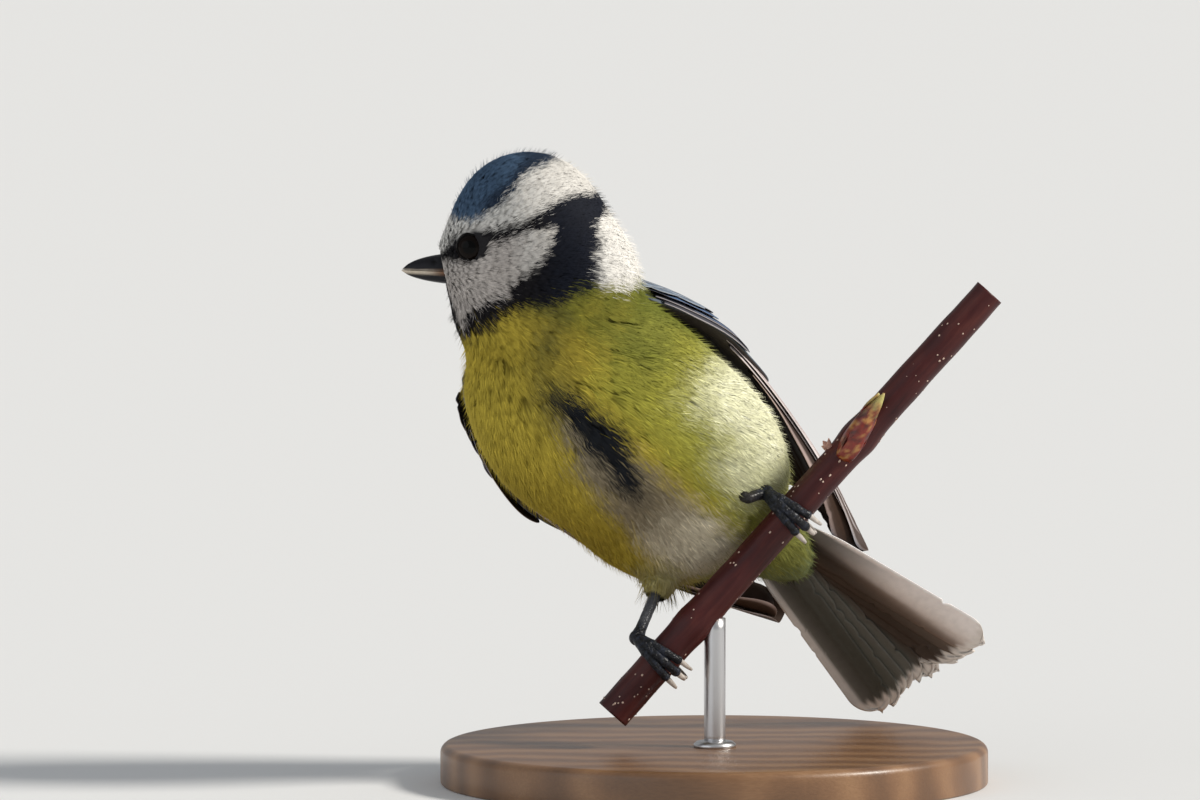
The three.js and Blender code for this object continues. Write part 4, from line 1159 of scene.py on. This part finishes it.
def makeBill():
    f = faceForm
    finish = Finish("billHorn", roughness=0.32, specularIORLevel=0.14)
    streaks = finish.noise(finish.place(), 1800.0, 4.0)
    finish.feed(baseColor=finish.shaded(streaks * 0.6 + 0.7), normal=finish.bump(streaks, 0.25, 0.0001))
    x = f["high"][0][0] + (f["high"][-1][0] - f["high"][0][0]) * np.linspace(0, 1, 40) ** 0.85
    high, low, half = (profile(f[key], x) for key in ("high", "low", "half"))
    centres = head.point(np.stack([x, 0 * x, (high + low) / 2], 1))
    for name, keep in (("upper", 1), ("lower", -1)):
        bm = bmesh.new()
        sweep(bm, centres, head.rows[2], half, (high - low) / 2, 40)
        cut = head.point((12, 0, f["mouth"] + 0.05 * keep)) * metre
        bmesh.ops.bisect_plane(bm, geom=bm.verts[:] + bm.edges[:] + bm.faces[:], plane_co=cut,
                               plane_no=head.rows[2] * -keep, clear_outer=True)
        rim = [e for e in bm.edges if e.is_boundary]
        bmesh.ops.holes_fill(bm, edges=rim, sides=0)
        for v in bm.verts:
            local = head.local(np.array(v.co) / metre)
            for side in (1, -1):
                gap = np.linalg.norm(local - np.array(f["nostril"]) * (1, side, 1)) / f["nostrilReach"]
                if name == "upper" and gap < 1:
                    v.co = Vector(np.array(v.co) - head.rows[1] * side * 0.35 * (1 - gap ** 2) * metre)
        mesh = finishMesh(bm, "bill")
        local = head.local(pointsOf(mesh))
        above = (local[:, 2] - f["mouth"]) * keep
        warm = mixed(f["edge"], f["gape"], smooth(14.5, 11.5, local[:, 0]))
        nearEdge = smooth(0.75, 0.25, above) if keep < 0 else 0.5 * smooth(0.3, 0.1, above)
        tint = mixed(f["horn"], warm, nearEdge)
        # painted shade in each nostril's dent
        for side in (1, -1):
            gap = np.linalg.norm(local - np.array(f["nostril"]) * (1, side, 1), axis=1) / f["nostrilReach"]
            tint = mixed(tint, f["hollow"], smooth(0.8, 0.5, gap) * (keep > 0))
        paint(mesh, tint)
        addPiece(f"mandible_{name}", mesh, finish, (f"bill_{name}",))


makeEyes()
makeBill()
print("eyes and bill")

# perch

perchForm = {
    "radius": 2.65, "slope": 48.3, "bend": 48, "below": 25.5, "above": 30, "end": 29,
    "budFoot": (17.3, -1.7, 19.2), "budTip": (23.2, -3.6, 28.6),
    "dots": 170, "remnant": 25.7,
}

perchTints = {
    "bark": [(0.25, (0.014, 0.003, 0.004)), (0.5, (0.055, 0.010, 0.010)), (0.78, (0.12, 0.030, 0.022))],
    "pores": ((0.45, 0.30, 0.24, 1), (0.72, 0.58, 0.48, 1)),
    "scale": (0.20, 0.022, 0.012), "scaleDark": (0.075, 0.012, 0.008), "scaleTip": (0.45, 0.40, 0.14),
    "scaleFleck": (0.50, 0.27, 0.08), "dry": ((0.30, 0.09, 0.06, 1), (0.75, 0.50, 0.40, 1)),
}

# each scale of the bud: where it starts and ends along it, its turn round it, its size
budScales = [
    (0.0, 0.55, 20, 1.25), (0.0, 0.6, -75, 1.2), (0.05, 0.62, 110, 1.15), (0.25, 0.85, 60, 1.0),
    (0.3, 0.88, -30, 1.0), (0.5, 1.04, 15, 0.75), (0.52, 1.0, -100, 0.7),
]


def perchPoint(along):
    along = np.asarray(along, float)
    f = perchForm
    first, more = np.minimum(along, f["above"]), np.maximum(along - f["above"], 0)
    c, s = turned(f["slope"])
    cb, sb = turned(f["bend"])
    return sight.point(np.stack([first * c + more * cb, 0 * along, first * s + more * sb], -1))


def roundPerch(along, turn, out):  # turned from its upper left towards the viewer
    c, s = turned(perchForm["slope"])
    upperLeft, viewer = sight.direction((-s, 0, c)), sight.direction((0, -1, 0))
    turn = np.radians(turn)
    out = np.asarray(out, float)
    return (perchPoint(along) + (out * np.cos(turn))[..., None] * upperLeft
            + (out * np.sin(turn))[..., None] * viewer)


def perchWidth(along):
    f = perchForm
    total = f["below"] + f["above"] + f["end"]
    t = (along + f["below"]) / total
    knob = 0.35 * np.exp(-((along - f["above"]) / 2.5) ** 2)
    bump = 0.22 * np.exp(-((along + 7.5) / 2.2) ** 2)
    return f["radius"] * (1.03 - 0.12 * t) + knob + bump - 0.05


def makePerch(random):
    f = perchForm
    along = np.linspace(-f["below"], f["above"] + f["end"], 240)
    bm = bmesh.new()
    sweep(bm, perchPoint(along), sight.rows[1], perchWidth(along), sides=48)
    for v in bm.verts:
        spot = np.dot(np.array(v.co) / metre - sight.origin, perchPoint(1) - sight.origin)
        outward = v.co - Vector(perchPoint(spot)) * metre
        v.co += outward.normalized() * noise.noise(v.co * 260) * 0.00010
    mesh = finishMesh(bm, "perch")
    finish = Finish("twigBark", roughness=0.42, specularIORLevel=0.25)
    place = finish.place(turn=(0, math.radians(f["slope"]), 0))
    fine = finish.node("ShaderNodeMapping", {}, {"Vector": place, "Scale": (60, 900, 900)})
    streaks = finish.noise(fine, 1.0, 5.0, 0.6)
    patches = finish.noise(finish.place(), 140.0, 3.0)
    tone = finish.node("ShaderNodeValToRGB", {"stops": perchTints["bark"]}, [streaks * 0.55 + patches * 0.45])
    finish.feed(baseColor=tone, roughness=streaks * 0.25 + 0.3, normal=finish.bump(streaks, 0.5, 0.0002))
    addPiece("twig", mesh, finish, ("perch",))
    bm = bmesh.new()
    for _ in range(f["dots"]):  # pale breathing pores
        spot = random.uniform(-f["below"] + 1, f["above"] + f["end"] - 1)
        turn = random.uniform(0, 360)
        at = roundPerch(spot, turn, perchWidth(spot) - 0.02)
        outward = unit(at - perchPoint(spot))
        lengthways = unit(perchPoint(spot + 0.1) - perchPoint(spot))
        size = random.uniform(0.09, 0.19)
        sideways = np.cross(outward, lengthways)
        columns = np.stack([lengthways * size * random.uniform(1, 1.7), sideways * size, outward * 0.09], 1)
        matrix = Matrix.Translation(Vector(at) * metre) @ Matrix((columns * metre).tolist()).to_4x4()
        bmesh.ops.create_icosphere(bm, subdivisions=1, radius=1, matrix=matrix)
    dots = Finish("barkPores", roughness=0.8)
    grain = dots.noise(dots.place(), 3000.0)
    dots.feed(baseColor=dots.mix(grain, *perchTints["pores"]))
    addPiece("twigPores", finishMesh(bm, "pores"), dots, ("perch",))


def scalePoints(foot, tip, bow, outward, count=14):
    t = np.linspace(0, 1, count)[:, None]
    return foot + (tip - foot) * t + outward * bow * np.sin(np.pi * t)


def makeBud():
    f = perchForm
    foot, tip = sight.point(f["budFoot"]), sight.point(f["budTip"])
    axis = unit(tip - foot)
    outward = sight.direction((0, -1, 0))
    sideways = np.cross(axis, outward)
    finish = Finish("budScales", roughness=0.3)
    mottle = finish.noise(finish.place(), 1500.0, 4.0)
    finish.feed(baseColor=finish.shaded(mottle * 0.9 + 0.55), normal=finish.bump(mottle, 0.4, 0.0002))
    bm = bmesh.new()
    t = np.linspace(0, 1, 24)
    width = 0.12 + 1.75 * np.sin(np.pi * (0.14 + 0.86 * t)) ** 0.8 * (1 - 0.25 * t)
    sweep(bm, scalePoints(foot, tip, 0.45, outward, 24), outward, width, sides=24)
    for start, end, turn, size in budScales:
        c, s = turned(turn)
        way = outward * c + sideways * s
        a = foot + (tip - foot) * start + way * 0.9 + outward * 0.3
        b = foot + (tip - foot) * end + way * (0.95 if end < 0.7 else 0.45) + outward * 0.35
        t = np.linspace(0, 1, 14)
        width = size * (0.25 + 0.95 * np.sin(np.pi * (0.2 + 0.8 * t)) ** 0.7) * (1 - 0.3 * t)
        sweep(bm, scalePoints(a, b, 0.55, way), way, width, 0.22 + 0 * t, 16)
    mesh = finishMesh(bm, "bud")
    points = pointsOf(mesh)
    up = (points - foot) @ axis / np.linalg.norm(tip - foot)
    rim = np.array([noise.noise(Vector(p) * 1.1) for p in points])
    tint = mixed(perchTints["scale"], perchTints["scaleDark"], smooth(0.1, 0.35, rim))
    tint = mixed(tint, perchTints["scaleTip"], smooth(0.72, 0.98, up + 0.15 * rim))
    tint = mixed(tint, perchTints["scaleFleck"], 0.7 * smooth(-0.18, -0.35, rim))
    paint(mesh, tint)
    addPiece("budScale", mesh, finish, ("perch_bud",))


def makeRemnant():  # dry scales of an older bud
    f = perchForm
    outward = sight.direction((0, -1, 0))
    bm = bmesh.new()
    for turn, lean, size in ((0, 0.2, 0.55), (28, 0.7, 0.5), (-25, -0.5, 0.5), (8, 1.1, 0.4)):
        a = roundPerch(f["remnant"], turn * 0.6, perchWidth(f["remnant"]) - 0.3)
        b = roundPerch(f["remnant"] + lean, turn, perchWidth(f["remnant"]) + 1.1 * size / 0.5)
        t = np.linspace(0, 1, 8)
        width = size * np.sin(np.pi * (0.25 + 0.72 * t))
        sweep(bm, scalePoints(a, b, 0.1, outward, 8), outward, width, 0.16 + 0 * t, 10)
    finish = Finish("dryScales", roughness=0.7)
    shade = finish.noise(finish.place(), 1800.0)
    finish.feed(baseColor=finish.mix(shade, *perchTints["dry"]), normal=finish.bump(shade, 0.4, 0.0002))
    addPiece("budRemnant", finishMesh(bm, "remnant"), finish, ("perch",))


makePerch(np.random.default_rng(5))
makeBud()
makeRemnant()
print("perch")

# legs and feet

footForm = {
    "close": 0.42, "reach": 4.9, "toeRadius": 0.84, "shank": 0.86,
    # inner, middle, outer and hind toe: spread along the twig, reach round it in degrees, thickness
    "toes": [(-1.5, 128, 1.0), (0.1, 140, 1.05), (1.7, 124, 0.95), (0.4, -128, 1.2)],
    # place along the twig, knee, and a point of the thigh inside the body
    "legs": {"right": (-14.5, (-10, 5.6, 0), (-7.6, 9.5, 7)),
             "left": (14.5, (3.1, -2.6, 13.3), (-2, 4, 17.5))},
    # near-black skin with bluish patches: partly the leg's own slate-blue, partly painted sheen
    "skin": (0.006, 0.007, 0.010), "worn": (0.022, 0.027, 0.042),
    # the left shin, in shadow under the body, is painted dark brown: painted shade; the right keeps the leg's
    # slate
    "shin": {"left": (0.026, 0.022, 0.020), "right": (0.10, 0.105, 0.12)},
    "claw": ((0.16, 0.13, 0.11, 1), (0.80, 0.74, 0.68, 1)),
}


def toePath(hold, spread, reach, thick, t):
    close = perchForm["radius"] + footForm["close"] + footForm["toeRadius"] * thick
    start = math.copysign(8, reach)
    out = close + (footForm["reach"] - close) * (1 - t) ** 3
    return roundPerch(hold + spread * t ** 0.8, start + (reach - start) * t, out)


def makeFoot(name, finish, clawFinish):
    hold, knee, inside = footForm["legs"][name]
    joint = roundPerch(hold, 6, footForm["reach"])
    knee = sight.point(knee)
    toward = unit(knee - joint)
    axis = unit(perchPoint(hold + 1) - perchPoint(hold))
    bm = bmesh.new()
    for spread, reach, thick in footForm["toes"]:
        t = np.linspace(0, 1, 72)
        scutes = 0.07 * np.abs(np.sin(np.pi * 9 * t)) ** 0.5
        pads = sum(0.13 * np.exp(-((t - k) / 0.05) ** 2) for k in (0.36, 0.68, 0.96))
        width = footForm["toeRadius"] * thick * (1 - 0.24 * t) * (0.90 + scutes + pads)
        sweep(bm, toePath(hold, spread, reach, thick, t), axis, width, sides=16)
    ankle = Matrix.Translation(Vector(joint) * metre)
    bmesh.ops.create_uvsphere(bm, u_segments=20, v_segments=14, radius=1.2 * metre, matrix=ankle)
    t = np.linspace(0, 1, 64)
    hip = knee + (sight.point(inside) - knee) * 0.4
    shin = curveThrough([joint, joint + (knee - joint) * 0.55, knee, hip], 64)
    scutes = 0.05 * np.abs(np.sin(np.pi * 8 * t)) ** 0.6
    ends = 0.25 * np.exp(-(t / 0.1) ** 2) + 0.2 * np.exp(-((1 - t) / 0.1) ** 2)
    sweep(bm, shin, sight.rows[1], footForm["shank"] * (0.93 + scutes + ends), sides=18)
    mesh = finishMesh(bm, "foot")
    points = pointsOf(mesh)
    grain = np.array([noise.noise(Vector(p) * 1.6) for p in points])
    # bluish patches, partly the leg's slate-blue, partly painted sheen
    tint = mixed(footForm["skin"], footForm["worn"], smooth(-0.1, 0.5, grain))
    shinNear = smooth(1.4, 3.5, (points - joint) @ toward)
    # the shin's colour, painted shade on the left one
    tint = mixed(tint, footForm["shin"][name], 0.75 * shinNear)
    paint(mesh, tint)
    addPiece(f"leg_{name}", mesh, finish, (f"foot_{name}", f"shank_{name}"))
    bm = bmesh.new()
    for spread, reach, thick in footForm["toes"]:
        sign = math.copysign(1, reach)
        close = perchForm["radius"] + footForm["close"] - 0.12 + footForm["toeRadius"] * thick
        stations = [(-8, 0.1), (18, 0.6), (46, 0.7), (76, 0.1)]
        path = curveThrough([roundPerch(hold + spread * (1 + 0.06 * i), reach + sign * more, close + out)
                             for i, (more, out) in enumerate(stations)], 26)
        t = np.linspace(0, 1, 26)
        sweep(bm, path, axis, 0.34 * thick * (1 - 0.9 * t), 0.50 * thick * (1 - 0.9 * t), 14)
    addPiece(f"claws_{name}", finishMesh(bm, "claws"), clawFinish, (f"foot_{name}",))


def makeLegFinish():
    finish = Finish("scalyLeg", roughness=0.38, specularIORLevel=0.3)
    cells = finish.node("ShaderNodeTexVoronoi", {"feature": "DISTANCE_TO_EDGE"},
                        {"Vector": finish.place(), "Scale": 1900.0})
    edges = finish.node("ShaderNodeMapRange", {}, [cells, 0.0, 0.12])
    finish.feed(baseColor=finish.shaded(edges * 0.55 + 0.55), normal=finish.bump(edges, 0.6, 0.00012))
    return finish


def makeClawFinish():
    finish = Finish("clawHorn", roughness=0.3)
    growth = finish.noise(finish.place(), 900.0, 3.0)
    finish.feed(baseColor=finish.mix(growth, *footForm["claw"]), normal=finish.bump(growth, 0.2, 0.0001))
    return finish


legFinish = makeLegFinish()
clawFinish = makeClawFinish()
for name in footForm["legs"]:
    makeFoot(name, legFinish, clawFinish)
print("legs and feet")

# display stand

standForm = {
    "radius": 41, "thickness": 6, "topEdge": 1.3, "lowEdge": 0.4, "rodRadius": 1.6, "rodAlong": -2.5,
    "wood": [(0.2, (0.105, 0.050, 0.022)), (0.55, (0.20, 0.10, 0.045)), (0.85, (0.31, 0.17, 0.08))],
    "steel": (0.62, 0.62, 0.63, 1),
}


def roundOff(bm, edges, offset, segments):
    bmesh.ops.bevel(bm, geom=edges, offset=offset * metre, offset_type="OFFSET", affect="EDGES",
                    segments=segments, profile=0.5, material=-1)


def makeBase():
    f = standForm
    thickness = f["thickness"] * metre
    bm = bmesh.new()
    bmesh.ops.create_circle(bm, cap_ends=True, segments=128, radius=f["radius"] * metre)
    grown = bmesh.ops.extrude_face_region(bm, geom=bm.faces[:])["geom"]
    verts = [g for g in grown if isinstance(g, bmesh.types.BMVert)]
    bmesh.ops.translate(bm, vec=(0, 0, thickness), verts=verts)
    bmesh.ops.recalc_face_normals(bm, faces=bm.faces)
    roundOff(bm, [e for e in bm.edges if all(v.co.z > thickness * 0.9 for v in e.verts)], f["topEdge"], 6)
    roundOff(bm, [e for e in bm.edges if all(v.co.z < 0.0001 for v in e.verts)], f["lowEdge"], 3)
    finish = Finish("oiledWood", roughness=0.38, coatWeight=0.25, coatRoughness=0.25)
    drift = finish.noise(finish.place((1, 3, 3)), 22.0, 3.0)
    rings = finish.node("ShaderNodeTexWave", {"bands_direction": "Y"},
                        {"Vector": finish.place(), "Scale": 38.0, "Distortion": 5.5, "Detail": 3.0,
                         "Detail Scale": 1.2})
    pores = finish.noise(finish.place((1, 9, 9)), 420.0, 4.0, 0.65)
    grain = rings * 0.35 + drift * 0.35 + pores * 0.35
    tone = finish.node("ShaderNodeValToRGB", {"stops": f["wood"]}, [grain])
    finish.feed(baseColor=tone, roughness=pores * 0.3 + 0.25, normal=finish.bump(pores, 0.25, 0.0002))
    addPiece("standFoot", finishMesh(bm, "base"), finish, ("stand_base",))


def standing(place, heights):  # points over a place on the base
    return np.stack([0 * heights + place[0], 0 * heights + place[1], heights], 1)


def makeRod():
    f = standForm
    top = perchPoint(f["rodAlong"])
    height = top[2] - perchForm["radius"] / math.cos(math.radians(perchForm["slope"])) + 1.2
    bm = bmesh.new()
    z = np.linspace(f["thickness"] + 0.02, height, 12)
    sweep(bm, standing(top, z), (0, 1, 0), f["rodRadius"] + 0 * z, sides=48)
    collar = np.array([0.0, 0.05, 0.5, 0.9, 1.0]) + f["thickness"] - 0.02
    flare = np.array([1.5, 1.6, 1.55, 1.1, 0.6])
    sweep(bm, standing(top, collar), (0, 1, 0), f["rodRadius"] + flare, sides=48)
    finish = Finish("brushedSteel", metallic=1.0, baseColor=f["steel"])
    brush = finish.noise(finish.place((1, 1, 0.02)), 5200.0, 2.0)
    finish.feed(roughness=brush * 0.22 + 0.22, normal=finish.bump(brush, 0.12, 0.00005))
    addPiece("standRod", finishMesh(bm, "rod"), finish, ("stand_rod",))


makeBase()
makeRod()
print("stand")
